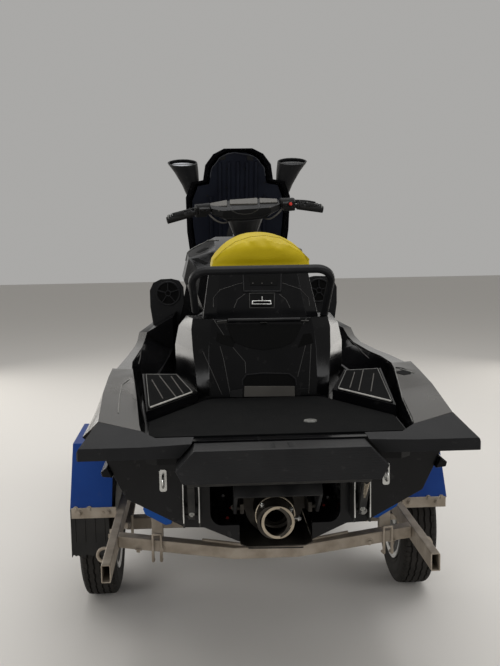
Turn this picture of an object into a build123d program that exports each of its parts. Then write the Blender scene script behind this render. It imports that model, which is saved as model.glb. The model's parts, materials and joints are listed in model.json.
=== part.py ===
from build123d import *
import math
import os

os.makedirs("parts", exist_ok=True)

# A three-seat personal watercraft on its home-made galvanised trailer.
# Millimetres, +Z up, +Y towards the bow, +X to starboard. The origin is on the ground,
# under the middle of the overall length. Distances called y are ahead of the stern line,
# where the rear corner bumpers end.

# Overall sizes of the craft
CRAFT_BEAM = 1225
KEEL_HEIGHT = 430
TRANSOM_Y = 240
BUMPER_PROUD = 60
PANEL_SKIN = 10
SEAT_GAP = 0.3
RUN_GAP = 8
SHAFT_GAP = 0.05

# Overall sizes of the trailer, whose middle line is x = 0; the craft sits a little to starboard
CRAFT_SHIFT = 24
COUPLING_Y = 4350
RAIL_X = 524
RAIL_WIDTH = 30
RAIL_HEIGHT = 58
RAIL_BOTTOM = 372
RAIL_REAR_Y = 100
RAIL_BEND_Y = 1900
TUBE_WALL = 3
AXLE_Y = 980
TYRE_RADIUS = 280
TYRE_HALF = 69
TRACK_HALF = 625

STERN = -(COUPLING_Y - BUMPER_PROUD) / 2


def across(y):
    """Section plane at y, drawn in X and Z."""
    return Plane(origin=(0, STERN + y, 0), x_dir=(1, 0, 0), z_dir=(0, -1, 0))


def side(x=0):
    """Side view plane at x, drawn in y and Z."""
    return Plane(origin=(x, STERN, 0), x_dir=(0, 1, 0), z_dir=(1, 0, 0))


def level(z):
    """Plan view plane at height z, drawn in X and y."""
    return Plane(origin=(0, STERN, z))


def both_sides(half):
    """Close a starboard half outline with its port mirror image."""
    return half + [(-x, z) for x, z in reversed(half)]


def outline(plane, points):
    """Draw a closed polygon on a plane as a sketch."""
    with BuildSketch(plane) as sketch:
        with BuildLine():
            Polyline(*points, close=True)
        make_face()
    return sketch.sketch


def prism(plane, points, amount, **options):
    """Extrude a closed polygon from a plane."""
    extrude(outline(plane, points), amount=amount, **options)


def oval(x, y, half_x, half_y, corners=20):
    """Corner points of a many-sided oval."""
    turns = [2 * math.pi * i / corners for i in range(corners)]
    return [(x + half_x * math.cos(t), y + half_y * math.sin(t)) for t in turns]


def along(table, y, column):
    """Read a section table's column at y, in a straight line between its rows."""
    for low, high in zip(table, table[1:]):
        if low[0] <= y <= high[0]:
            share = (y - low[0]) / (high[0] - low[0])
            return low[column] + share * (high[column] - low[column])
    return table[0][column] if y < table[0][0] else table[-1][column]


# Hull sections, heights above the keel line: y, keel z, half width of the flat,
# inner strake x and z, outer strake x and z, chine x and z, topside x and z, bond line x and z
HULL_SECTIONS = (
    (TRANSOM_Y, 0, 95, 237, 64, 300, 67, 490, 170, 545, 285, 575, 370),
    (1100, 0, 60, 225, 64, 290, 67, 490, 172, 548, 285, 578, 380),
    (1900, 2, 30, 200, 72, 262, 78, 450, 195, 528, 310, 566, 405),
    (2500, 25, 14, 150, 105, 200, 118, 350, 245, 432, 360, 470, 440),
    (2900, 95, 10, 90, 185, 120, 205, 220, 320, 290, 420, 322, 475),
    (3180, 235, 8, 40, 300, 55, 315, 105, 395, 150, 460, 175, 502),
    (3330, 400, 6, 14, 425, 20, 432, 40, 465, 55, 500, 62, 520),
)


def bond(y):
    """Half width and height of the line where deck and hull meet."""
    return along(HULL_SECTIONS, y, -2), KEEL_HEIGHT + along(HULL_SECTIONS, y, -1)


# Footwell troughs, cut into hull and bow deck: y, inner x, outer x, floor z above the keel
FOOTWELL = (
    (1120, 300, 452, 330),
    (1300, 225, 432, 290),
    (2000, 230, 385, 290),
    (2200, 260, 360, 320),
)
FOOTWELL_TOP = 1400

# Gunwale sections: y, rail x and z above the bond line, panel edge x and z above the
# keel, ridge x and z above the keel, inner foot x
GUNWALES = (
    (60, 36, 30, 556, 444, 420, 427, 412),
    (140, 35, 32, 559, 453, 432, 436, 416),
    (450, 33, 34, 574, 488, 460, 464, 433),
    (640, 30, 34, 574, 508, 482, 512, 452),
    (760, 28, 34, 570, 522, 494, 518, 463),
    (800, 27, 34, 560, 512, 500, 514, 466),
    (1100, 24, 34, 558, 500, 520, 496, 466),
    (1400, 20, 36, 562, 480, 526, 476, 440),
    (1800, 18, 36, 558, 466, 523, 466, 402),
    (1960, 17, 37, 556, 478, 520, 478, 398),
    (2060, 16, 38, 553, 509, 512, 509, 395),
)
# Plan line of the seam between gunwale and corner bumper, from the rail inwards
SEAM = ((CRAFT_BEAM / 2 - 4, 139), (559, 135), (423, 82), (379, 44.7))

# Hull, with the pump tunnel, the intake and the two footwell troughs cut in
TUNNEL_HALF = 215
TUNNEL_TOP = 665
TUNNEL_LENGTH = 500
TUNNEL_SLOT = 120
INTAKE_LENGTH = 460
INTAKE_HALF = 95
ENGINE_Y = 1250
ENGINE_SIZE = (330, 620, 300)
ENGINE_FLOOR = 70
BAY_GAP = 20

with BuildPart() as footwells:
    for y, inner, outer, floor in FOOTWELL:
        z = KEEL_HEIGHT + floor
        corners = [(inner, z), (outer, z), (outer, FOOTWELL_TOP), (inner, FOOTWELL_TOP)]
        add(outline(across(y), corners))
    loft(ruled=True)
    mirror(about=Plane.YZ)

with BuildPart() as hull:
    for row in HULL_SECTIONS:
        y, keel, flat = row[:3]
        corners = [(flat, KEEL_HEIGHT + keel)]
        corners += [(row[i], KEEL_HEIGHT + row[i + 1]) for i in range(3, len(row), 2)]
        add(outline(across(y), both_sides(corners)))
    loft(ruled=True)
    with BuildSketch(across(TRANSOM_Y)) as tunnel_mouth:
        with Locations((0, (TUNNEL_TOP + KEEL_HEIGHT + 70) / 2)):
            RectangleRounded(2 * TUNNEL_HALF, TUNNEL_TOP - KEEL_HEIGHT - 70, 40)
        with Locations((0, KEEL_HEIGHT + 20)):
            Rectangle(2 * TUNNEL_SLOT, 200)
    extrude(amount=-TUNNEL_LENGTH, mode=Mode.SUBTRACT)
    tunnel_end = TRANSOM_Y + TUNNEL_LENGTH
    with BuildSketch(side(-INTAKE_HALF)):
        with BuildLine():
            Polyline((tunnel_end - 1, KEEL_HEIGHT - 10),
                     (tunnel_end + INTAKE_LENGTH, KEEL_HEIGHT - 10),
                     (tunnel_end - 1, KEEL_HEIGHT + 170), close=True)
        make_face()
    extrude(amount=2 * INTAKE_HALF, mode=Mode.SUBTRACT)
    add(footwells.part, mode=Mode.SUBTRACT)
    with BuildSketch(level(KEEL_HEIGHT + ENGINE_FLOOR)):
        with Locations((0, ENGINE_Y + ENGINE_SIZE[1] / 2)):
            Rectangle(ENGINE_SIZE[0] + 2 * BAY_GAP, ENGINE_SIZE[1] + 2 * BAY_GAP)
    extrude(amount=500, mode=Mode.SUBTRACT)
hull.part.label = "hull"

# Engine, one plain block on its bed in the closed bay
with BuildPart() as engine:
    with BuildSketch(level(KEEL_HEIGHT + ENGINE_FLOOR + SEAT_GAP)):
        with Locations((0, ENGINE_Y + ENGINE_SIZE[1] / 2)):
            Rectangle(ENGINE_SIZE[0], ENGINE_SIZE[1])
    extrude(amount=ENGINE_SIZE[2])
engine.part.label = "engine"


def gunwale_corners(row):
    """Rail, panel edge, ridge and inner foot of one starboard gunwale section."""
    y, rail_out, rail_up, edge_x, edge_z, ridge_x, ridge_z, foot_x = row
    bond_x, bond_z = bond(y)
    return [(foot_x, bond_z), (bond_x, bond_z), (bond_x + rail_out, bond_z + rail_up),
            (edge_x, KEEL_HEIGHT + edge_z), (ridge_x, KEEL_HEIGHT + ridge_z)]


seam_cut = [(x, y + SEAT_GAP) for x, y in SEAM]
seam_cut += [(SEAM[-1][0], 0), (CRAFT_BEAM, 0), (CRAFT_BEAM, seam_cut[0][1])]

# Gunwales: the raised sides of the deck, and the metallic panels that clad them
with BuildPart() as gunwales:
    for row in GUNWALES:
        corners = gunwale_corners(row)
        corners[3] = (corners[3][0], corners[3][1] - PANEL_SKIN)
        corners[4] = (corners[4][0], corners[4][1] - PANEL_SKIN)
        add(outline(across(row[0]), corners))
    loft(ruled=True)
    prism(level(700), seam_cut, 400, mode=Mode.SUBTRACT)
    mirror(about=Plane.YZ)
gunwales.part.label = "gunwales"

with BuildPart() as side_panels:
    for row in GUNWALES:
        rail, edge, ridge = gunwale_corners(row)[2:]
        drop = PANEL_SKIN - SEAT_GAP
        corners = [rail, edge, ridge, (ridge[0], ridge[1] - drop), (edge[0], edge[1] - drop)]
        add(outline(across(row[0]), corners))
    loft(ruled=True)
    prism(level(700), seam_cut, 400, mode=Mode.SUBTRACT)
    mirror(about=Plane.YZ)
side_panels.part.label = "side_panels"

# Swim platform between the gunwales, overhanging the transom: half outline in plan
PLATFORM_TOP = 832
PLATFORM_HALF = ((376, 45), (409, 74), (411, 140), (419, 330), (461, 800), (461, 1110))
OVERHANG_BOTTOM = 760
PLATFORM_REAR_Y = PLATFORM_HALF[0][1]
PLATFORM_FRONT_Y = PLATFORM_HALF[-1][1]

# Sloping foot ramps on it: x, y and height over the platform of three top corners, and the
# outline in plan
RAMP_PLANE = ((420, 330, 38), (250, 650, 38), (461, 800, 90))
RAMP_CORNERS = ((420, 330), (250, 650), (330, 880), (461, 800))
MAT_THICK = 5
MAT_INSET = 8

ramp_points = [Vector(x, STERN + y, PLATFORM_TOP + rise) for x, y, rise in RAMP_PLANE]
across_ramp = ramp_points[1] - ramp_points[0]
ramp_plane = Plane(origin=ramp_points[0], x_dir=-across_ramp,
                   z_dir=(ramp_points[2] - ramp_points[0]).cross(across_ramp))

with BuildPart() as ramps:
    prism(level(PLATFORM_TOP), RAMP_CORNERS, 150)
    split(bisect_by=ramp_plane, keep=Keep.BOTTOM)
    mirror(about=Plane.YZ)

with BuildPart() as platform:
    bond_rear = bond(TRANSOM_Y)[1]
    with BuildSketch(side(-PLATFORM_HALF[-1][0])):
        with BuildLine():
            Polyline((PLATFORM_REAR_Y, OVERHANG_BOTTOM), (TRANSOM_Y - SEAT_GAP, OVERHANG_BOTTOM),
                     (TRANSOM_Y - SEAT_GAP, bond_rear),
                     (PLATFORM_FRONT_Y, bond(PLATFORM_FRONT_Y)[1]),
                     (PLATFORM_FRONT_Y, PLATFORM_TOP), (PLATFORM_REAR_Y, PLATFORM_TOP),
                     close=True)
        make_face()
    extrude(amount=2 * PLATFORM_HALF[-1][0])
    prism(level(OVERHANG_BOTTOM), both_sides(list(PLATFORM_HALF)), 200, mode=Mode.INTERSECT)
    add(ramps.part)
platform.part.label = "platform"

# Rear corner bumpers: wedges that rise forward to the panel seam
BUMPER_BOTTOM = 790
BUMPER_REAR_TOP = 828
BUMPER_INNER_X = 255
BUMPER_CORNER_X = 414
BUMPER_GAP = 10
BUMPER_RISE = 0.39

CENTRE_BUMPER = ((296, 725), (318, 767), (262, 826))

with BuildPart() as corner_bumpers:
    half_beam = CRAFT_BEAM / 2
    with BuildSketch(level(BUMPER_BOTTOM)):
        with BuildLine():
            Polyline((BUMPER_INNER_X, 10), (BUMPER_CORNER_X, 0), (half_beam - 5, 0),
                     (half_beam, 8), *SEAM,
                     (BUMPER_INNER_X, SEAM[-1][1]), close=True)
        make_face()
    extrude(amount=90)
    with BuildSketch(side(0)):
        with BuildLine():
            Polyline((-20, BUMPER_REAR_TOP - 20 * BUMPER_RISE),
                     (150, BUMPER_REAR_TOP + 150 * BUMPER_RISE), (150, 1000), (-20, 1000),
                     close=True)
        make_face()
    extrude(amount=CRAFT_BEAM, both=True, mode=Mode.SUBTRACT)
    flank = [(604, 4), (559, 135.5)]
    crease = Vector(flank[1][0] - flank[0][0], flank[1][1] - flank[0][1],
                    (flank[1][1] - flank[0][1]) * BUMPER_RISE)
    edge = Vector(half_beam - flank[0][0], 0, -14)
    top = Vector(flank[0][0], STERN + flank[0][1], BUMPER_REAR_TOP + flank[0][1] * BUMPER_RISE)
    split(bisect_by=Plane(origin=top, x_dir=crease, z_dir=edge.cross(crease)), keep=Keep.BOTTOM)
    notch = [(x + BUMPER_GAP, z) for x, z in CENTRE_BUMPER[1:]]
    notch = [(0, notch[0][1]), *notch, (notch[1][0] - 40, 900), (0, 900)]
    prism(across(-BUMPER_PROUD), notch, -200, mode=Mode.SUBTRACT)
    mirror(about=Plane.YZ)
corner_bumpers.part.label = "corner_bumpers"

# Centre bumper, hexagonal from behind
with BuildPart() as centre_bumper:
    prism(across(-BUMPER_PROUD), both_sides(list(CENTRE_BUMPER)),
          -(BUMPER_PROUD + PLATFORM_REAR_Y - SEAT_GAP))
centre_bumper.part.label = "centre_bumper"

# Tail cowl, from the platform up to the grab handle's feet: height, then x and y of the back
# face's edge, of the rear corner and of the front edge
TAIL_FRONT_Y = 985
TAIL_TOP = 1125
TAIL_SECTIONS = (
    (PLATFORM_TOP + SEAT_GAP, (200, 735), (250, 747), (318, TAIL_FRONT_Y)),
    (905, (205, 742), (256, 765), (336, TAIL_FRONT_Y)),
    (1010, (205, 762), (266, 805), (338, TAIL_FRONT_Y)),
    (1085, (198, 782), (270, 840), (322, TAIL_FRONT_Y)),
    (TAIL_TOP, (190, 800), (264, 866), (290, TAIL_FRONT_Y)),
)

with BuildPart() as tail_cowl:
    for z, *half in TAIL_SECTIONS:
        add(outline(level(z), both_sides(half)))
    loft(ruled=True)
    add(ramps.part, mode=Mode.SUBTRACT)
tail_cowl.part.label = "tail_cowl"

TAIL_CROWN_TOP = 1312
with BuildPart() as tail_crown:
    add(outline(level(TAIL_TOP + SEAT_GAP),
                both_sides([(175, 806), (225, 850), (225, TAIL_FRONT_Y)])))
    add(outline(level(TAIL_CROWN_TOP),
                both_sides([(150, 925), (195, 960), (195, TAIL_FRONT_Y)])))
    loft(ruled=True)
tail_crown.part.label = "tail_crown"

# Grab handle: a rounded loop behind the rear seat, feet on the cowl's shoulders
HANDLE_HALF = 266
HANDLE_FOOT = (TAIL_TOP + SEAT_GAP, 872)
HANDLE_TOE_IN = 18
HANDLE_TOP = (1316, 712)
HANDLE_CORNER = 60
HANDLE_BAR = (34, 28)

rise = HANDLE_TOP[0] - HANDLE_FOOT[0]
run = HANDLE_TOP[1] - HANDLE_FOOT[1]
slant = math.hypot(rise, run)
handle_plane = Plane(origin=(0, STERN + HANDLE_FOOT[1], HANDLE_FOOT[0]), x_dir=(1, 0, 0),
                     z_dir=(0, -rise, run))
with BuildPart() as grab_handle:
    with BuildLine(handle_plane) as loop_path:
        foot_x = HANDLE_HALF - HANDLE_TOE_IN
        FilletPolyline((-foot_x, -20), (-HANDLE_HALF, slant), (HANDLE_HALF, slant),
                       (foot_x, -20), radius=HANDLE_CORNER)
    with BuildSketch(Plane(origin=loop_path.line @ 0, z_dir=loop_path.line % 0)) as bar:
        Rectangle(HANDLE_BAR[0], HANDLE_BAR[1])
        chamfer(bar.vertices(), 8)
    sweep(bar.sketch, path=loop_path.line)
    with BuildSketch(level(TAIL_TOP + SEAT_GAP - 60)):
        Rectangle(4 * HANDLE_HALF, 8 * HANDLE_HALF)
    extrude(amount=60, mode=Mode.SUBTRACT)
grab_handle.part.label = "grab_handle"

# Seat pedestal between the footwells: y, half width low down, then under the seats
PEDESTAL_FRONT_Y = 1760
PEDESTAL = (
    (TAIL_FRONT_Y + SEAT_GAP, 316, 200),
    (1115, 288, 198),
    (1300, 216, 194),
    (PEDESTAL_FRONT_Y, 200, 184),
)
PEDESTAL_SHOULDER = 1085
SEAT_SPLIT_Y = 1465
SEAT_DIP_Y = SEAT_SPLIT_Y + 135
FRONT_SEAT_BASE = 1150
SEAT_OFF_LINE = 10

with BuildPart() as pedestal:
    for y, low, high in PEDESTAL:
        z = bond(y)[1]
        foot = max(z, PLATFORM_TOP) if y < PLATFORM_FRONT_Y + 6 else z
        add(outline(across(y), both_sides([(low, foot + SEAT_GAP), (low, PEDESTAL_SHOULDER),
                                           (high, PEDESTAL_SHOULDER + 60),
                                           (high - 12, TAIL_CROWN_TOP)])))
    loft(ruled=True)
    with BuildSketch(side(0)):
        with BuildLine():
            Polyline((SEAT_SPLIT_Y, TAIL_CROWN_TOP + 1), (SEAT_SPLIT_Y, FRONT_SEAT_BASE),
                     (PEDESTAL_FRONT_Y + 10, FRONT_SEAT_BASE),
                     (PEDESTAL_FRONT_Y + 10, TAIL_CROWN_TOP + 1), close=True)
        make_face()
    extrude(amount=400, both=True, mode=Mode.SUBTRACT)
pedestal.part.label = "pedestal"


def seat_section(y, half_width, base, top, x=0):
    """A domed seat section: flat base, upright edge and a rounded crown."""
    edge = base + 30
    with BuildSketch(across(y)) as sketch:
        with BuildLine():
            Polyline((x - half_width, edge), (x - half_width + 8, base),
                     (x + half_width - 8, base), (x + half_width, edge))
            ThreePointArc((x + half_width, edge), (x, top), (x - half_width, edge))
        make_face()
    return sketch.sketch


# Seats: y, half width and crown height of each section
REAR_SEAT = ((950, 202, 1432), (1040, 206, 1447), (1300, 198, 1436), (SEAT_SPLIT_Y - 5, 186, 1395))
FRONT_SEAT = ((SEAT_SPLIT_Y + 5, 182, 1330), (SEAT_DIP_Y, 170, 1285),
              (PEDESTAL_FRONT_Y - 8, 150, 1300))

with BuildPart() as rear_seat:
    for y, half_width, top in REAR_SEAT:
        add(seat_section(y, half_width, TAIL_CROWN_TOP + SEAT_GAP, top, SEAT_OFF_LINE))
    loft()
rear_seat.part.label = "rear_seat"

with BuildPart() as front_seat:
    for y, half_width, top in FRONT_SEAT:
        add(seat_section(y, half_width, FRONT_SEAT_BASE + SEAT_GAP, top))
    loft()
front_seat.part.label = "front_seat"

# Steering: a turned frame on the leaning axis, bars a little to port
BAR_CENTRE = (1890, 1570)
STEER_LEAN = 27
STEER_TURN = 7
BAR_HALF = 393
lean = math.radians(STEER_LEAN)
turn = math.radians(STEER_TURN)
steer_axis = Vector(0, -math.sin(lean), math.cos(lean))
bar_plane = Plane(origin=(0, STERN + BAR_CENTRE[0], BAR_CENTRE[1]),
                  x_dir=(math.cos(turn), math.sin(turn) * math.cos(lean),
                         math.sin(turn) * math.sin(lean)),
                  z_dir=steer_axis)
COLLAR_TOP = 158
COLLAR_HEIGHT = 90
COLLAR_RADIUS = 62
STEER_SHAFT = 14
STEER_SHAFT_LENGTH = 70

# Console round the steering: y, foot x, waist x and z, shoulder x and z, brow x and z,
# crown x and z
CONSOLE = (
    (1762, 200, 205, 1030, 245, 1150, 228, 1250, 120, 1290),
    (1860, 215, 235, 1040, 312, 1215, 286, 1322, 150, 1362),
    (1990, 225, 250, 1050, 322, 1230, 290, 1355, 150, 1425),
    (2052, 228, 255, 1045, 314, 1200, 262, 1315, 130, 1388),
)
with BuildPart() as console:
    for row in CONSOLE:
        y, foot_x = row[:2]
        corners = [(foot_x, bond(y)[1] + SEAT_GAP)]
        corners += [(row[i], row[i + 1]) for i in range(2, len(row), 2)]
        add(outline(across(y), both_sides(corners)))
    loft(ruled=True)
    with BuildSketch(bar_plane.offset(-COLLAR_TOP - COLLAR_HEIGHT)):
        Circle(COLLAR_RADIUS)
    extrude(amount=COLLAR_HEIGHT)
    with BuildSketch(bar_plane.offset(-COLLAR_TOP)):
        Circle(STEER_SHAFT + SHAFT_GAP)
    extrude(amount=-STEER_SHAFT_LENGTH - 10, mode=Mode.SUBTRACT)
console.part.label = "console"

# Gauge pod over the console
GAUGE = (
    # height, half width, y of the rider's face
    (1385, 86, 2026),
    (1425, 92, 2020),
    (1495, 72, 2050),
)
GAUGE_FRONT_Y = 2092
with BuildPart() as gauge_pod:
    for z, half_width, face_y in GAUGE:
        add(outline(level(z), both_sides([(half_width, face_y), (half_width - 14, GAUGE_FRONT_Y)])))
    loft(ruled=True)
    add(console.part, mode=Mode.SUBTRACT)
gauge_pod.part.label = "gauge_pod"

# Bow deck with the open storage bin: y, panel edge x and z, ridge x and z, rim foot x and z,
# rim x, with heights above the ground and the rim's height from the deck's slope
RIM_REAR = 1262
RIM_DROP = 0.2287
BOW_DECK = (
    (2060, 553, 939, 512, 939, 330, 1040, 290),
    (2500, 440, 990, 400, 1025, 330, 1075, 300),
    (2900, 285, 1000, 255, 1025, 225, 1030, 215),
    (3180, 150, 965, 120, 975, 95, 976, 85),
    (3330, 50, 955, 36, 958, 26, 959, 18),
)
BIN = (2180, 2820, 205)
BIN_FLOOR = 980
HINGE = (3000, 1068)
HINGE_PIN = 5
EAR_X = 92
EAR_THICK = 12
CHEEK_THICK = 8


def rim_height(y):
    """Height of the bow deck's top, which slopes down towards the bow."""
    slope_end = 2900
    return RIM_REAR - RIM_DROP * (min(y, slope_end) - 2060) - 0.18 * max(0, y - slope_end)


with BuildPart() as bow_deck:
    for row in BOW_DECK:
        y = row[0]
        bond_x, bond_z = bond(y)
        rail = 8 if row == BOW_DECK[-1] else 16
        corners = [(bond_x, bond_z), (bond_x + rail, bond_z + (14 if y > HINGE[0] else 38))]
        corners += [(row[1], row[2]), (row[3], row[4]), (row[5], row[6])]
        corners += [(row[7], max(rim_height(y), row[6] + 4))]
        add(outline(across(y), both_sides(corners)))
    loft(ruled=True)
    add(footwells.part, mode=Mode.SUBTRACT)
    with BuildSketch(level(BIN_FLOOR)):
        with Locations((0, (BIN[0] + BIN[1]) / 2)):
            RectangleRounded(2 * BIN[2], BIN[1] - BIN[0], 50)
    extrude(amount=400, mode=Mode.SUBTRACT)
    for sign in (-1, 1):
        for cheek in (-1, 1):
            face = sign * EAR_X + cheek * (EAR_THICK / 2 + 1 + CHEEK_THICK / 2)
            with BuildSketch(side(face)):
                with BuildLine():
                    Polyline((HINGE[0] - 32, HINGE[1] - 80), (HINGE[0] + 32, HINGE[1] - 80),
                             (HINGE[0] + 11, HINGE[1] + 9), (HINGE[0] - 11, HINGE[1] + 9),
                             close=True)
                make_face()
            extrude(amount=CHEEK_THICK / 2, both=True)
        with BuildSketch(side(sign * EAR_X)):
            with Locations(HINGE):
                Circle(HINGE_PIN)
        extrude(amount=EAR_THICK / 2 + 1 + CHEEK_THICK / 2, both=True)
bow_deck.part.label = "bow_deck"

# Speaker pods beside the storage rim, sunk to the bow deck and sloped down ahead of their
# round fronts: x and height of the section, then y with the drop and pull-in of its top
POD_SECTION = ((350, 960), (322, 1075), (322, 1160), (345, 1196), (385, 1206), (440, 1204),
               (480, 1186), (499, 1145), (499, 1060), (480, 920))
POD_TAPER = ((2190, 0, 0), (2290, 6, 2), (2420, 70, 26), (2520, 130, 60))

with BuildPart() as speaker_pods:
    for y, drop, pull_in in POD_TAPER:
        foot_in, *top, foot_out = POD_SECTION
        top = [(x - pull_in * (x > 400), z - drop) for x, z in top]
        add(outline(across(y), [foot_in, *top, (foot_out[0] - pull_in, foot_out[1])]))
    loft(ruled=True)
    add(bow_deck.part, mode=Mode.SUBTRACT)
    mirror(about=Plane.YZ)
speaker_pods.part.label = "speaker_pods"

# Hood, hinged at its front edge and stored open, drawn in its own plane: across, then
# distance from the hinge
HOOD_OPEN = 63.7
HOOD_LENGTH = 948
HOOD_DEPTH = 70
HOOD_WALL = 12
HOOD_DROP = 12
HOOD_HALF = (
    # half width, distance from the hinge
    (160, 48), (225, 110), (285, 260), (302, 430), (304, 650),
    (268, 745), (202, 758), (188, 850), (142, 915), (80, HOOD_LENGTH),
)
hood_tilt = math.radians(HOOD_OPEN)
hood_plane = Plane(origin=(0, STERN + HINGE[0], HINGE[1]), x_dir=(-1, 0, 0),
                   z_dir=(0, math.sin(hood_tilt), math.cos(hood_tilt)))


def hood_side(x):
    """Side view plane of the hood, drawn in distance from the hinge and height off it."""
    return Plane(origin=(x, STERN + HINGE[0], HINGE[1]), x_dir=hood_plane.y_dir,
                 z_dir=(-1, 0, 0))


with BuildPart() as hood_form:
    with BuildSketch(hood_plane.offset(-HOOD_DROP)):
        with BuildLine():
            Polyline(*both_sides(list(HOOD_HALF)), close=True)
        make_face()
    extrude(amount=HOOD_DEPTH, taper=28)

with BuildPart() as hood:
    add(hood_form.part)
    with BuildSketch(hood_plane.offset(-HOOD_DROP)):
        with BuildLine():
            Polyline(*both_sides([(x - HOOD_WALL * 1.3, y + (HOOD_WALL if y < 500 else -HOOD_WALL))
                                  for x, y in HOOD_HALF]), close=True)
        make_face()
    extrude(amount=HOOD_DEPTH - HOOD_WALL, taper=28, mode=Mode.SUBTRACT)
    for sign in (-1, 1):
        prism(hood_side(sign * EAR_X), [(-9, -7), (56, -10), (66, 10), (-5, 9)], EAR_THICK / 2,
              both=True)
    with BuildSketch(hood_side(2 * EAR_X)):
        Circle(HINGE_PIN + SHAFT_GAP)
    extrude(amount=4 * EAR_X, mode=Mode.SUBTRACT)
hood.part.label = "hood"

NECK_FOOT = COLLAR_TOP - RUN_GAP
PAD_BOTTOM = 48
PAD_EDGE = 14
PAD_HALF = 172
with BuildPart() as steering_neck:
    add(outline(bar_plane.offset(-NECK_FOOT), oval(0, 0, 58, 50)))
    add(outline(bar_plane.offset(-PAD_BOTTOM), oval(0, 0, 95, 56)))
    loft(ruled=True)
    with BuildSketch(bar_plane.offset(-NECK_FOOT)):
        Circle(STEER_SHAFT)
    extrude(amount=-STEER_SHAFT_LENGTH)
steering_neck.part.label = "steering_neck"

with BuildPart() as bar_pad:
    pad_half = both_sides([(120, -52), (PAD_HALF, -20), (PAD_HALF, 30), (110, 55)])
    add(outline(bar_plane.offset(-PAD_BOTTOM + SEAT_GAP),
                both_sides([(96, -46), (112, -20), (108, 30), (80, 46)])))
    add(outline(bar_plane.offset(-PAD_EDGE), pad_half))
    loft(ruled=True)
    prism(bar_plane.offset(-PAD_EDGE), pad_half, 2 * PAD_EDGE)
bar_pad.part.label = "bar_pad"

# Handlebar tube with its drooping ends, grips, switch pods and levers
GRIP_DROOP = 10
GRIP_START = 262
GRIP_RADIUS = 17
BAR_RADIUS = 11
BAR_ELBOW = 200
SWITCH_POD = (222, 58, 46, 50)
LEVER_START = 235
LEVER_REACH = 45
droop = math.radians(GRIP_DROOP)


def bar_point(sign, out, ahead=0):
    """A point along the drooping bar in the bar's own axes."""
    past = max(0, out - BAR_ELBOW)
    return (sign * out, ahead - 0.1 * past, -past * math.tan(droop))


def rod(points, radius):
    """Sweep a round rod along straight pieces drawn in the bar's axes."""
    with BuildLine(bar_plane) as path:
        Polyline(*points)
    with BuildSketch(Plane(origin=path.line @ 0, z_dir=path.line % 0)) as section:
        Circle(radius)
    sweep(section.sketch, path=path.line, transition=Transition.RIGHT)


with BuildPart() as handlebar:
    for sign in (-1, 1):
        rod([bar_point(sign, x) for x in (PAD_HALF + SEAT_GAP, BAR_ELBOW, BAR_HALF)], BAR_RADIUS)
        rod([bar_point(sign, x) for x in (GRIP_START, BAR_HALF - 1)], GRIP_RADIUS)
        with BuildSketch(bar_plane.offset(-SWITCH_POD[3] / 2 - 2)):
            with Locations((sign * SWITCH_POD[0], 0)):
                RectangleRounded(SWITCH_POD[1], SWITCH_POD[2], 10)
        extrude(amount=SWITCH_POD[3])
        rod([bar_point(sign, LEVER_START - 20, 14), bar_point(sign, LEVER_START, LEVER_REACH),
             bar_point(sign, BAR_HALF - 35, LEVER_REACH + 6)], 6)
handlebar.part.label = "handlebar"

# Jet pump: housing in the tunnel, fixed cone, steerable nozzle and reverse bucket
PUMP_Z = 533
NOZZLE_Y = 262
NOZZLE_TIP_Y = 150
NOZZLE_OUTER = 54
NOZZLE_INNER = 44
NOZZLE_ROOT = 66
NOZZLE_PIN = 6
LUG_INNER = 78
LUG_THICK = 10
HOUSING_Y = 330
HOUSING_RADIUS = 88
FLANGE_RADIUS = 98
FLANGE_THICK = 14
BUCKET_PIVOT = (232, 560)
BUCKET_RADIUS = 135
BUCKET_SKIN = 12
BUCKET_HALF = 140
BUCKET_START, BUCKET_END = 95, 150
BUCKET_PIN = 8
BRACKET_X = 106
BRACKET_THICK = 12

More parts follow.
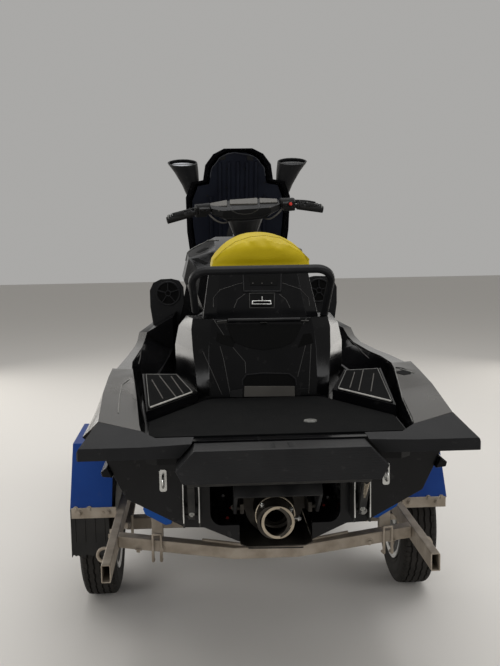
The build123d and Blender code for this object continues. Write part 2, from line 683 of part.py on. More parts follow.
with BuildPart() as pump_housing:
    with BuildSketch(side(0)):
        with BuildLine():
            Polyline((NOZZLE_Y, PUMP_Z + 35), (NOZZLE_Y, PUMP_Z + 40), (288, PUMP_Z + 46),
                     (HOUSING_Y, PUMP_Z + 70), (HOUSING_Y, PUMP_Z + FLANGE_RADIUS),
                     (HOUSING_Y + FLANGE_THICK, PUMP_Z + FLANGE_RADIUS),
                     (HOUSING_Y + FLANGE_THICK, PUMP_Z + HOUSING_RADIUS),
                     (tunnel_end - SEAT_GAP, PUMP_Z + HOUSING_RADIUS),
                     (tunnel_end - SEAT_GAP, PUMP_Z), (HOUSING_Y + 60, PUMP_Z),
                     (HOUSING_Y + 20, PUMP_Z + 35), close=True)
        make_face()
    revolve(axis=Axis((0, STERN, PUMP_Z), (0, 1, 0)))
    for sign in (-1, 1):
        lug_z = PUMP_Z + sign * (LUG_INNER + LUG_THICK / 2)
        with BuildSketch(level(lug_z)):
            with Locations((0, (NOZZLE_Y - 14 + HOUSING_Y + 5) / 2)):
                Rectangle(32, HOUSING_Y + 5 - NOZZLE_Y + 14)
        extrude(amount=LUG_THICK / 2, both=True)
        with BuildSketch(level(lug_z)):
            with Locations((0, NOZZLE_Y)):
                Circle(NOZZLE_PIN)
        extrude(amount=-sign * (LUG_THICK / 2 + LUG_INNER - 60))
    with BuildSketch(across(HOUSING_Y + FLANGE_THICK)):
        with Locations((0, BUCKET_PIVOT[1] - 5)):
            Rectangle(2 * (BRACKET_X + BRACKET_THICK), 70)
    extrude(amount=FLANGE_THICK)
    for sign in (-1, 1):
        with BuildSketch(side(sign * (BRACKET_X + BRACKET_THICK / 2))):
            with BuildLine():
                Polyline((BUCKET_PIVOT[0] - 16, BUCKET_PIVOT[1] - 16),
                         (BUCKET_PIVOT[0] - 16, BUCKET_PIVOT[1] + 16),
                         (HOUSING_Y + FLANGE_THICK, BUCKET_PIVOT[1] + 30),
                         (HOUSING_Y + FLANGE_THICK, BUCKET_PIVOT[1] - 40), close=True)
            make_face()
        extrude(amount=BRACKET_THICK / 2, both=True)
        with BuildSketch(side(sign * BRACKET_X)):
            with Locations(BUCKET_PIVOT):
                Circle(BUCKET_PIN)
        extrude(amount=sign * (BUCKET_HALF + 4 - BRACKET_X))
pump_housing.part.label = "pump_housing"

nozzle_plane = Plane(origin=(0, STERN + NOZZLE_Y, PUMP_Z),
                     x_dir=(math.cos(turn), -math.sin(turn), 0), z_dir=(0, 0, 1))
nozzle_reach = NOZZLE_Y - NOZZLE_TIP_Y
with BuildPart() as nozzle:
    with BuildSketch(Plane(origin=nozzle_plane.origin, x_dir=-nozzle_plane.y_dir,
                           z_dir=nozzle_plane.x_dir)):
        with BuildLine():
            Polyline((-5, 58), (-5, NOZZLE_ROOT), (20, NOZZLE_ROOT),
                     (nozzle_reach - 14, NOZZLE_OUTER - 3), (nozzle_reach - 12, NOZZLE_OUTER),
                     (nozzle_reach, NOZZLE_OUTER), (nozzle_reach, NOZZLE_INNER),
                     (nozzle_reach - 12, NOZZLE_INNER), (20, 57), close=True)
        make_face()
    revolve(axis=Axis(nozzle_plane.origin, nozzle_plane.y_dir))
    for sign in (-1, 1):
        with BuildSketch(nozzle_plane.offset(sign * 61)):
            Circle(14)
        extrude(amount=sign * 11)
    with BuildSketch(nozzle_plane.offset(-100)):
        Circle(NOZZLE_PIN + SHAFT_GAP)
    extrude(amount=200, mode=Mode.SUBTRACT)
nozzle.part.label = "nozzle"


def bucket_point(radius, angle):
    """A point at an angle from forward, round the bucket's pivot."""
    return (BUCKET_PIVOT[0] + radius * math.cos(math.radians(angle)),
            BUCKET_PIVOT[1] + radius * math.sin(math.radians(angle)))


with BuildPart() as reverse_bucket:
    middle = (BUCKET_START + BUCKET_END) / 2
    outer_radius = BUCKET_RADIUS + BUCKET_SKIN
    with BuildSketch(side(0)):
        with BuildLine():
            ThreePointArc(*[bucket_point(BUCKET_RADIUS, a)
                            for a in (BUCKET_START, middle, BUCKET_END)])
            Line(bucket_point(BUCKET_RADIUS, BUCKET_END), bucket_point(outer_radius, BUCKET_END))
            ThreePointArc(*[bucket_point(outer_radius, a)
                            for a in (BUCKET_END, middle, BUCKET_START)])
            Line(bucket_point(outer_radius, BUCKET_START),
                 bucket_point(BUCKET_RADIUS, BUCKET_START))
        make_face()
    extrude(amount=BUCKET_HALF, both=True)
    for sign in (-1, 1):
        with BuildSketch(side(sign * BUCKET_HALF)):
            with BuildLine():
                Polyline(bucket_point(24, 20), bucket_point(outer_radius - 3, BUCKET_START),
                         bucket_point(outer_radius - 3, middle),
                         bucket_point(outer_radius - 3, BUCKET_END), bucket_point(24, 220),
                         bucket_point(24, 300), close=True)
            make_face()
            with Locations(BUCKET_PIVOT):
                Circle(BUCKET_PIN + SHAFT_GAP, mode=Mode.SUBTRACT)
        extrude(amount=-sign * 10)
reverse_bucket.part.label = "reverse_bucket"

# Ride plate under the pump, and the grate over the water intake
PLATE_REAR_Y = 215
with BuildPart() as ride_plate:
    slope = (HULL_SECTIONS[0][4]) / (HULL_SECTIONS[0][3] - HULL_SECTIONS[0][2])
    flat = HULL_SECTIONS[0][2]
    edge_x = TUNNEL_SLOT - SEAT_GAP
    edge_z = KEEL_HEIGHT + (edge_x - HULL_SECTIONS[0][2]) * slope
    prism(across(PLATE_REAR_Y), both_sides([(flat, KEEL_HEIGHT), (edge_x, edge_z),
                                            (edge_x, edge_z + 4), (flat, KEEL_HEIGHT + 4)]),
          -(tunnel_end - SEAT_GAP - PLATE_REAR_Y))
ride_plate.part.label = "ride_plate"

GRATE_BARS = 4
GRATE_HEIGHT = 14
with BuildPart() as intake_grate:
    grate_length = INTAKE_LENGTH - 110
    grate_half = INTAKE_HALF - SEAT_GAP
    with BuildSketch(level(KEEL_HEIGHT + 16)):
        with Locations((0, tunnel_end + grate_length / 2)):
            Rectangle(2 * grate_half, grate_length)
            slot = 2 * (grate_half - 12) / (GRATE_BARS + 1) - 8
            with GridLocations(slot + 10, 1, GRATE_BARS + 1, 1):
                Rectangle(slot, grate_length - 40, mode=Mode.SUBTRACT)
    extrude(amount=GRATE_HEIGHT)
intake_grate.part.label = "intake_grate"

# Sponsons on the hull's sides: outer x, outer top and bottom heights above the keel
SPONSON = (566, 268, 252)
SPONSON_Y = (215, 1080)
with BuildPart() as sponsons:
    for y in SPONSON_Y:
        chine_x, chine_z = along(HULL_SECTIONS, y, 7), along(HULL_SECTIONS, y, 8)
        top_x, top_z = along(HULL_SECTIONS, y, 9), along(HULL_SECTIONS, y, 10)
        low_z = 248
        low_x = chine_x + (top_x - chine_x) * (low_z - chine_z) / (top_z - chine_z)
        corners = [(low_x + SEAT_GAP, low_z), (top_x + SEAT_GAP, top_z),
                   (SPONSON[0], SPONSON[1]), (SPONSON[0] - 4, SPONSON[2])]
        add(outline(across(y), [(x, KEEL_HEIGHT + z) for x, z in corners]))
    loft(ruled=True)
    mirror(about=Plane.YZ)
sponsons.part.label = "sponsons"

# Tie-down eyes on the transom: a plate and an upright loop
EYE_X = 367
EYE_Z = 658
EYE_PLATE = (24, 74, 4)
EYE_LOOP = (40, 26, 4)
with BuildPart() as transom_eyes:
    plate_y = TRANSOM_Y - SEAT_GAP
    with BuildSketch(across(plate_y)):
        with Locations((EYE_X, EYE_Z)):
            RectangleRounded(EYE_PLATE[0], EYE_PLATE[1], 8)
    extrude(amount=EYE_PLATE[2])
    height, reach, radius = EYE_LOOP
    with BuildLine(side(EYE_X)) as loop_line:
        FilletPolyline((plate_y - 2, EYE_Z - height / 2), (plate_y - reach - 4, EYE_Z - height / 2),
                       (plate_y - reach - 4, EYE_Z + height / 2), (plate_y - 2, EYE_Z + height / 2),
                       radius=height / 2 - 1)
    with BuildSketch(Plane(origin=loop_line.line @ 0, z_dir=loop_line.line % 0)) as wire:
        RegularPolygon(radius, 8)
    sweep(wire.sketch, path=loop_line.line)
    mirror(about=Plane.YZ)
transom_eyes.part.label = "transom_eyes"

# Folding boarding step: brackets with a bolt on the transom, arms and tread folded up
STEP_PIVOT = (185, 555)
STEP_TREAD = (80, 703)
STEP_ARM_X = 275.5
STEP_ARM = (22, 26)
STEP_BOLT = 6
TREAD_SIZE = (50, 24)
BRACKET_PLATES = ((247, 6), (298, 6))
BRACKET_LOW = 36
BRACKET_TOP = 690

with BuildPart() as step_brackets:
    for x, thick in BRACKET_PLATES:
        with BuildSketch(side(x)):
            with BuildLine():
                Polyline((STEP_PIVOT[0] - 16, STEP_PIVOT[1] - BRACKET_LOW),
                         (TRANSOM_Y - SEAT_GAP, STEP_PIVOT[1] - BRACKET_LOW),
                         (TRANSOM_Y - SEAT_GAP, BRACKET_TOP), (TRANSOM_Y - 26, BRACKET_TOP),
                         (STEP_PIVOT[0] - 16, STEP_PIVOT[1] + 55), close=True)
            make_face()
        extrude(amount=thick)
    with BuildSketch(side(BRACKET_PLATES[0][0])):
        with Locations(STEP_PIVOT):
            Circle(STEP_BOLT)
    extrude(amount=BRACKET_PLATES[1][0] - BRACKET_PLATES[0][0] + BRACKET_PLATES[1][1])
    mirror(about=Plane.YZ)
step_brackets.part.label = "step_brackets"

step_angle = math.degrees(math.atan2(STEP_TREAD[1] - STEP_PIVOT[1], STEP_TREAD[0] - STEP_PIVOT[0]))
step_length = math.dist(STEP_PIVOT, STEP_TREAD)
with BuildPart() as boarding_step:
    for sign in (-1, 1):
        with BuildSketch(side(sign * STEP_ARM_X)):
            with Locations(Location((*STEP_PIVOT, 0), (0, 0, step_angle))):
                with Locations((step_length / 2, 0)):
                    SlotCenterToCenter(step_length, STEP_ARM[1])
                Circle(STEP_BOLT + SHAFT_GAP, mode=Mode.SUBTRACT)
        extrude(amount=STEP_ARM[0] / 2, both=True)
    with BuildSketch(side(0)):
        with Locations(Location((*STEP_TREAD, 0), (0, 0, step_angle))):
            RectangleRounded(TREAD_SIZE[1], TREAD_SIZE[0], 8)
    extrude(amount=STEP_ARM_X + STEP_ARM[0] / 2, both=True)
boarding_step.part.label = "boarding_step"

# Hood liner with its ribs, and the mirror housings on the hood's shoulders
LINER_INSET = 36
LINER_DEPTH = 12
RIB_PITCH = 52
RIBS = 7
with BuildPart() as hood_liner:
    with BuildSketch(hood_plane.offset(LINER_DEPTH)):
        with BuildLine():
            Polyline(*both_sides([(x - LINER_INSET, y + (LINER_INSET if y < 500 else -LINER_INSET))
                                  for x, y in HOOD_HALF]), close=True)
        make_face()
    extrude(amount=5)
    with BuildSketch(hood_plane.offset(LINER_DEPTH)):
        with Locations((0, 480)):
            with GridLocations(RIB_PITCH, 1, RIBS - 2, 1):
                Rectangle(12, 760)
            with GridLocations(RIB_PITCH * (RIBS - 1), 1, 2, 1):
                Rectangle(12, 330)
    extrude(amount=-12)
    with BuildSketch(hood_plane.offset(LINER_DEPTH)):
        with Locations((0, 470)):
            with GridLocations(200, 420, 2, 2):
                Circle(12)
    extrude(amount=HOOD_DEPTH - HOOD_DROP - HOOD_WALL - LINER_DEPTH - SEAT_GAP)
hood_liner.part.label = "hood_liner"

# Mirror housings: distance from the hinge, then x and height off the hood's plane, half axes
MIRROR_SECTIONS = (
    (HOOD_LENGTH - 298, 264, 38, 38, 28),
    (HOOD_LENGTH - 243, 274, 46, 50, 36),
    (HOOD_LENGTH - 168, 297, 62, 70, 48),
    (HOOD_LENGTH - 116, 318, 70, 86, 54),
)
MIRROR_LIP = 8
MIRROR_RECESS = 14
cross_hood = Plane(origin=hood_plane.origin, x_dir=hood_plane.x_dir, z_dir=hood_plane.y_dir)


def across_hood(distance):
    """Plane square to the hood at a distance from its hinge; y is towards the liner."""
    return cross_hood.offset(distance)


with BuildPart() as mirrors:
    for distance, x, height, half_x, half_z in MIRROR_SECTIONS:
        add(outline(across_hood(distance), oval(x, -height, half_x, half_z)))
    loft(ruled=True)
    distance, x, height, half_x, half_z = MIRROR_SECTIONS[-1]
    prism(across_hood(distance), oval(x, -height, half_x - MIRROR_LIP, half_z - MIRROR_LIP),
          -MIRROR_RECESS, mode=Mode.SUBTRACT)
    add(hood_form.part, mode=Mode.SUBTRACT)
    mirror(about=Plane.YZ)
mirrors.part.label = "mirrors"

with BuildPart() as mirror_glass:
    lip = MIRROR_LIP + SEAT_GAP
    prism(across_hood(distance - MIRROR_RECESS + SEAT_GAP),
          oval(x, -height, half_x - lip, half_z - lip), 4)
    mirror(about=Plane.YZ)
mirror_glass.part.label = "mirror_glass"

# Traction mats on platform, steps and footwell floors
PLATFORM_MAT = ((401, 92), (411, 322), (242, 641), (198, 700))
RAMP_MAT = ((415, 354), (266, 635), (333, 858), (452, 788))
with BuildPart() as ramp_mats:
    prism(level(PLATFORM_TOP), RAMP_MAT, 150)
    split(bisect_by=ramp_plane.offset(SEAT_GAP), keep=Keep.TOP)
    split(bisect_by=ramp_plane.offset(SEAT_GAP + MAT_THICK), keep=Keep.BOTTOM)
    mirror(about=Plane.YZ)

with BuildPart() as deck_mats:
    prism(level(PLATFORM_TOP + SEAT_GAP), both_sides(list(PLATFORM_MAT)), MAT_THICK)
    add(ramp_mats.part)
    with BuildSketch(level(KEEL_HEIGHT + FOOTWELL[1][3] + SEAT_GAP)):
        with BuildLine():
            Polyline((236, FOOTWELL[1][0] + MAT_INSET), (418, FOOTWELL[1][0] + MAT_INSET),
                     (372, FOOTWELL[2][0] - MAT_INSET), (242, FOOTWELL[2][0] - MAT_INSET),
                     close=True)
        make_face()
        mirror(about=Plane.YZ)
    extrude(amount=MAT_THICK)
deck_mats.part.label = "deck_mats"

# Trailer side rails, open square tube, and the legs that run in to the drawbar
RAIL_TOP = RAIL_BOTTOM + RAIL_HEIGHT
RAIL_MIDDLE = RAIL_BOTTOM + RAIL_HEIGHT / 2
DRAWBAR_WIDTH = 60
DRAWBAR_REAR_Y = 3200
DRAWBAR_FRONT_Y = 4150
LEG_END_Y = 3420

with BuildPart() as side_rails:
    with BuildSketch(across(RAIL_REAR_Y)):
        with Locations((RAIL_X, RAIL_MIDDLE)):
            RectangleRounded(RAIL_WIDTH, RAIL_HEIGHT, 4)
            RectangleRounded(RAIL_WIDTH - 2 * TUBE_WALL, RAIL_HEIGHT - 2 * TUBE_WALL, 2,
                             mode=Mode.SUBTRACT)
    extrude(amount=-(RAIL_BEND_Y - RAIL_REAR_Y))
    mirror(about=Plane.YZ)
side_rails.part.label = "side_rails"

with BuildPart() as drawbar_legs:
    outer_x = RAIL_X + RAIL_WIDTH / 2
    inner_x = RAIL_X - RAIL_WIDTH / 2
    end_x = DRAWBAR_WIDTH / 2 + SEAT_GAP
    with BuildSketch(level(RAIL_BOTTOM)):
        with BuildLine():
            Polyline((inner_x, RAIL_BEND_Y + SEAT_GAP), (outer_x, RAIL_BEND_Y + SEAT_GAP),
                     (end_x, LEG_END_Y + 55), (end_x, LEG_END_Y - 55), close=True)
        make_face()
    extrude(amount=RAIL_HEIGHT)
    mirror(about=Plane.YZ)
drawbar_legs.part.label = "drawbar_legs"

with BuildPart() as drawbar:
    with BuildSketch(across(DRAWBAR_REAR_Y)):
        with Locations((0, RAIL_MIDDLE)):
            RectangleRounded(DRAWBAR_WIDTH, RAIL_HEIGHT, 5)
            RectangleRounded(DRAWBAR_WIDTH - 2 * TUBE_WALL, RAIL_HEIGHT - 2 * TUBE_WALL, 3,
                             mode=Mode.SUBTRACT)
    extrude(amount=-(DRAWBAR_FRONT_Y - DRAWBAR_REAR_Y))
drawbar.part.label = "drawbar"

# Coupling head with the socket for a tow ball, and its latch lever
BALL_RADIUS = 25.5
SOCKET_Y = COUPLING_Y - 54
SOCKET_DEPTH = 30
HEAD_REAR_Y = SOCKET_Y - 266
COUPLING_BOTTOM = RAIL_TOP + SEAT_GAP
# Latch lever's side outline: ahead of the head's rear end, above its underside
LEVER = ((60, 40), (210, 40), (220, 66), (90, 96), (10, 96), (10, 84), (80, 80))
with BuildPart() as coupling:
    with BuildSketch(level(COUPLING_BOTTOM)):
        with Locations((0, SOCKET_Y)):
            Circle(COUPLING_Y - SOCKET_Y)
        with Locations((0, (SOCKET_Y + HEAD_REAR_Y) / 2)):
            Rectangle(66, SOCKET_Y - HEAD_REAR_Y)
    extrude(amount=50)
    with BuildSketch(side(-16)):
        with BuildLine():
            Polyline(*[(HEAD_REAR_Y + ahead, COUPLING_BOTTOM + up) for ahead, up in LEVER],
                     close=True)
        make_face()
    extrude(amount=32)
    with BuildSketch(level(COUPLING_BOTTOM)):
        with Locations((0, SOCKET_Y)):
            Circle(BALL_RADIUS)
    extrude(amount=SOCKET_DEPTH, mode=Mode.SUBTRACT)
coupling.part.label = "coupling"

# Cross bars: the shallow V at the rear, and two straight ones
CROSS_REAR_Y = 370
CROSS_DEPTH = 50
CROSS_CENTRE_TOP = 374
CROSS_THICK = 41
CROSS_Y = (1500, 2300)
with BuildPart() as rear_crossbar:
    end_x = RAIL_X - RAIL_WIDTH / 2 - SEAT_GAP
    prism(across(CROSS_REAR_Y),
          both_sides([(110, CROSS_CENTRE_TOP - CROSS_THICK), (end_x, RAIL_TOP - CROSS_THICK),
                      (end_x, RAIL_TOP), (110, CROSS_CENTRE_TOP)]), -CROSS_DEPTH)
rear_crossbar.part.label = "rear_crossbar"

ROLLER_RADIUS = 34
ROLLER_HALF = 60
ROLLER_PIN = 8


def hull_bottom(y, x):
    """Height of the hull's bottom at y and x, between strakes and chine."""
    points = [(along(HULL_SECTIONS, y, i), KEEL_HEIGHT + along(HULL_SECTIONS, y, i + 1))
              for i in (3, 5, 7)]
    points.insert(0, (along(HULL_SECTIONS, y, 2), KEEL_HEIGHT + along(HULL_SECTIONS, y, 1)))
    points.insert(0, (0, points[0][1]))
    for (x0, z0), (x1, z1) in zip(points, points[1:]):
        if x0 <= x <= x1:
            return z0 + (z1 - z0) * (x - x0) / (x1 - x0)
    return points[-1][1]


rail_inner = RAIL_X - RAIL_WIDTH / 2 - SEAT_GAP
leg_run = (rail_inner - DRAWBAR_WIDTH / 2) / (LEG_END_Y - 55 - RAIL_BEND_Y)
with BuildPart() as crossbars:
    for y in CROSS_Y:
        near, far = [rail_inner - max(0, at - RAIL_BEND_Y) * leg_run
                     for at in (y, y + CROSS_DEPTH)]
        with BuildSketch(level(RAIL_BOTTOM)):
            with BuildLine():
                Polyline((near, y), (far, y + CROSS_DEPTH), (-far, y + CROSS_DEPTH), (-near, y),
                         close=True)
            make_face()
        extrude(amount=50)
    roller_y = CROSS_Y[1] + CROSS_DEPTH + ROLLER_RADIUS + 12
    roller_z = hull_bottom(roller_y - ROLLER_RADIUS, 0) - ROLLER_RADIUS - 0.6
    for sign in (-1, 1):
        with BuildSketch(side(sign * (ROLLER_HALF + SEAT_GAP + 3))):
            with BuildLine():
                Polyline((CROSS_Y[1] + CROSS_DEPTH - 1, RAIL_BOTTOM + 2),
                         (CROSS_Y[1] + CROSS_DEPTH - 1, RAIL_BOTTOM + 48),
                         (roller_y + 16, roller_z + 16), (roller_y + 16, roller_z - 16),
                         close=True)
            make_face()
        extrude(amount=3, both=True)
    with BuildSketch(side(-ROLLER_HALF - 10)):
        with Locations((roller_y, roller_z)):
            Circle(ROLLER_PIN)
    extrude(amount=2 * ROLLER_HALF + 20)
crossbars.part.label = "crossbars"

with BuildPart() as keel_roller:
    with BuildSketch(side(0)):
        with Locations((roller_y, roller_z)):
            Circle(ROLLER_RADIUS)
            Circle(ROLLER_PIN + SEAT_GAP, mode=Mode.SUBTRACT)
    extrude(amount=ROLLER_HALF, both=True)
keel_roller.part.label = "keel_roller"

# Cradle on the rear crossbar: a flat pad with two thin arms along the hull's bottom
CRADLE_X = (80, 235, 262)
CRADLE_ARM = 13
with BuildPart() as cradle:
    inner, outer, tip = CRADLE_X
    keel_flat = HULL_SECTIONS[0][2]
    under = [(x, hull_bottom(TRANSOM_Y, x) - SEAT_GAP) for x in (keel_flat, outer, tip)]
    prism(across(CROSS_REAR_Y + 4),
          both_sides([(inner, CROSS_CENTRE_TOP + SEAT_GAP), (inner + 6, under[0][1] - CRADLE_ARM - 4),
                      (tip, under[1][1] - CRADLE_ARM), (tip, under[1][1]), under[1], under[0]]),
          -(CROSS_DEPTH - 8))
cradle.part.label = "cradle"

BUNK_Y = (400, 700, 1100, 1300, 1500, 1700, 1900)
BUNK_X = (340, 428)
BUNK_THICK = 42
with BuildPart() as bunks:
    for y in BUNK_Y:
        (x0, z0), (x1, z1) = [(x, hull_bottom(y, x) - SEAT_GAP) for x in BUNK_X]
        lean_back = math.atan2(z1 - z0, x1 - x0)
        shift_x, shift_z = BUNK_THICK * math.sin(lean_back), -BUNK_THICK * math.cos(lean_back)
        add(outline(across(y), [(x0, z0), (x1, z1), (x1 + shift_x, z1 + shift_z),
                                (x0 + shift_x, z0 + shift_z)]))
    loft(ruled=True)
    mirror(about=Plane.YZ)
bunks.part.label = "bunks"

POST_X = (380, 420)
POST_Y = (CROSS_REAR_Y + CROSS_DEPTH + SEAT_GAP, CROSS_Y[0] + CROSS_DEPTH + SEAT_GAP)
with BuildPart() as bunk_posts:
    for y in POST_Y:
        (x0, z0), (x1, z1) = [(x, hull_bottom(y, x) - SEAT_GAP) for x in BUNK_X]
        rise = (z1 - z0) / (x1 - x0)
        under = BUNK_THICK * math.hypot(1, rise) + 2
        top = [(x, z0 + (x - x0) * rise - under) for x in POST_X]
        prism(across(y), [(POST_X[0], 365), (POST_X[1], 365), *reversed(top)], -30)
    mirror(about=Plane.YZ)
bunk_posts.part.label = "bunk_posts"

# Axle with its stubs, and the leaf springs between axle and rails
AXLE_TUBE = 50
AXLE_HALF = TRACK_HALF - 94
STUB_RADIUS = 15
HUB_INNER = 50
HUB_OUTER = 45
STUB_COLLAR = 24
with BuildPart() as axle:
    with BuildSketch(side(0)):
        with Locations((AXLE_Y, TYRE_RADIUS)):
            RectangleRounded(AXLE_TUBE, AXLE_TUBE, 5)
    extrude(amount=AXLE_HALF, both=True)
    hub_face = TRACK_HALF - HUB_INNER - SEAT_GAP
    nut_face = TRACK_HALF + HUB_OUTER + SEAT_GAP
    for start, end, radius in ((AXLE_HALF - 5, hub_face, STUB_COLLAR),
                               (hub_face - 5, nut_face + 14, STUB_RADIUS),
                               (nut_face, nut_face + 12, STUB_COLLAR)):
        with BuildSketch(side(start)):
            with Locations((AXLE_Y, TYRE_RADIUS)):
                Circle(radius)
        extrude(amount=end - start)
        with BuildSketch(side(-start)):
            with Locations((AXLE_Y, TYRE_RADIUS)):
                Circle(radius)
        extrude(amount=start - end)
axle.part.label = "axle"

SPRING_HALF = 280
SPRING_THICK = 16
SPRING_WIDTH = 45
with BuildPart() as leaf_springs:
    seat_z = TYRE_RADIUS + AXLE_TUBE / 2 + SEAT_GAP
    end_z = RAIL_BOTTOM - 27
    rail_seat = RAIL_BOTTOM - SEAT_GAP
    with BuildSketch(side(RAIL_X)):
        with BuildLine():
            ThreePointArc((AXLE_Y - SPRING_HALF, end_z), (AXLE_Y, seat_z),
                          (AXLE_Y + SPRING_HALF, end_z))
            Line((AXLE_Y + SPRING_HALF, end_z), (AXLE_Y + SPRING_HALF, end_z + SPRING_THICK))
            ThreePointArc((AXLE_Y + SPRING_HALF, end_z + SPRING_THICK),
                          (AXLE_Y, seat_z + SPRING_THICK),
                          (AXLE_Y - SPRING_HALF, end_z + SPRING_THICK))
            Line((AXLE_Y - SPRING_HALF, end_z + SPRING_THICK), (AXLE_Y - SPRING_HALF, end_z))
        make_face()
        for sign in (-1, 1):
            with Locations((AXLE_Y + sign * (SPRING_HALF - 10), (end_z + 4 + rail_seat) / 2)):
                Rectangle(30, rail_seat - end_z - 4)
    extrude(amount=SPRING_WIDTH / 2, both=True)
    mirror(about=Plane.YZ)
leaf_springs.part.label = "leaf_springs"

# Road wheels: tyre and pressed rim, profiles as distance out from the track line and radius
RIM_SEAT = 165
BEAD = TYRE_HALF - 14
FLANGE = BEAD + SEAT_GAP
TYRE_PROFILE = ((BEAD, RIM_SEAT + SEAT_GAP), (TYRE_HALF, 230), (TYRE_HALF - 16, TYRE_RADIUS))
RIM_PROFILE = ((FLANGE + 9, 180), (FLANGE + 4, 180), (FLANGE, RIM_SEAT), (-FLANGE, RIM_SEAT),
               (-FLANGE - 4, 180), (-FLANGE - 9, 180),
               (-FLANGE - 5, 158), (14, 158), (14, 148), (26, 108), (18, 60), (18, 45),
               (-HUB_INNER, 45), (-HUB_INNER, STUB_RADIUS + SHAFT_GAP),
               (HUB_OUTER, STUB_RADIUS + SHAFT_GAP), (HUB_OUTER, 32), (24, 45), (24, 60),
               (32, 108), (22, 150), (22, 158), (FLANGE + 5, 158))
RIM_HOLES = 8
RIM_HOLE_RADIUS = 14


def wheel_outline(sign, profile):
    """A wheel profile drawn beside its axle, on the port (-1) or starboard (1) side."""
    return outline(across(AXLE_Y), [(sign * (TRACK_HALF + x), TYRE_RADIUS + r)
                                    for x, r in profile])


axle_line = Axis((0, STERN + AXLE_Y, TYRE_RADIUS), (1, 0, 0))
with BuildPart() as tyre_starboard:
    add(wheel_outline(1, both_sides(list(TYRE_PROFILE))))
    revolve(axis=axle_line)
tyre_starboard.part.label = "tyre_starboard"

with BuildPart() as tyre_port:
    add(wheel_outline(-1, both_sides(list(TYRE_PROFILE))))
    revolve(axis=axle_line)
tyre_port.part.label = "tyre_port"

with BuildPart() as rim_starboard:
    add(wheel_outline(1, RIM_PROFILE))
    revolve(axis=axle_line)
    with BuildSketch(side(TRACK_HALF)):
        with Locations((AXLE_Y, TYRE_RADIUS)):
            with PolarLocations(128, RIM_HOLES):
                Circle(RIM_HOLE_RADIUS)
    extrude(amount=45, mode=Mode.SUBTRACT)
rim_starboard.part.label = "rim_starboard"

with BuildPart() as rim_port:
    add(rim_starboard.part)
    mirror(about=Plane.YZ, mode=Mode.REPLACE)
rim_port.part.label = "rim_port"

# Fenders of folded sheet, their straps to the rails, and the one torn mud flap
FENDER_X = (556, 711)
FENDER_BOTTOM = 440
FENDER_TOP = 657
FENDER_FOOT = 320
FENDER_SHOULDER = 180
FENDER_SHEET = 3
FENDER_LIP = 28
STRAP_Z = (405, 445)
STRAP_THICK = 5


def fender_outline(inset):
    """The fender's side outline, moved in by the given distance and open below."""
    run = (FENDER_FOOT - FENDER_SHOULDER) / (FENDER_TOP - FENDER_BOTTOM)
    shift = inset * math.hypot(1, run)
    low = FENDER_BOTTOM - (20 if inset else 0)
    high = FENDER_TOP - inset
    foot, shoulder = [FENDER_FOOT - (z - FENDER_BOTTOM) * run - shift for z in (low, high)]
    return [(AXLE_Y - foot, low), (AXLE_Y - shoulder, high), (AXLE_Y + shoulder, high),
            (AXLE_Y + foot, low)]


with BuildPart() as fenders:
    prism(side(FENDER_X[0]), fender_outline(0), FENDER_X[1] - FENDER_X[0])
    prism(side(FENDER_X[0] - 1), fender_outline(FENDER_SHEET),
          FENDER_X[1] - FENDER_X[0] + 1 - FENDER_SHEET, mode=Mode.SUBTRACT)
    prism(side(FENDER_X[1] - FENDER_SHEET - 1), fender_outline(FENDER_LIP),
          FENDER_SHEET + 2, mode=Mode.SUBTRACT)
    mirror(about=Plane.YZ)
fenders.part.label = "fenders"

with BuildPart() as fender_straps:
    start = RAIL_X + RAIL_WIDTH / 2 + SEAT_GAP
    for y in (AXLE_Y - FENDER_FOOT - STRAP_THICK - SEAT_GAP, AXLE_Y + FENDER_FOOT + SEAT_GAP):
        with BuildSketch(level(STRAP_Z[0])):
            with Locations(((start + FENDER_X[1] - 5) / 2, y + STRAP_THICK / 2)):
                Rectangle(FENDER_X[1] - 5 - start, STRAP_THICK)
        extrude(amount=STRAP_Z[1] - STRAP_Z[0])
    mirror(about=Plane.YZ)
fender_straps.part.label = "fender_straps"

FLAP_BOTTOM = 252
FLAP_TEETH = 9
with BuildPart() as mud_flap:
    with BuildSketch(across(AXLE_Y - FENDER_FOOT)):
        with BuildLine():
            left, right = -FENDER_X[1], -FENDER_X[0] - 12
            pitch = (right - left) / (2 * FLAP_TEETH)
            teeth = [(left + i * pitch, FLAP_BOTTOM + (9 if i % 2 else 0) + 3 * (i % 3))
                     for i in range(2 * FLAP_TEETH + 1)]
            Polyline((left, FENDER_BOTTOM - SEAT_GAP), *teeth, (right, FENDER_BOTTOM - SEAT_GAP),
                     close=True)
        make_face()
    extrude(amount=-5)
mud_flap.part.label = "mud_flap"

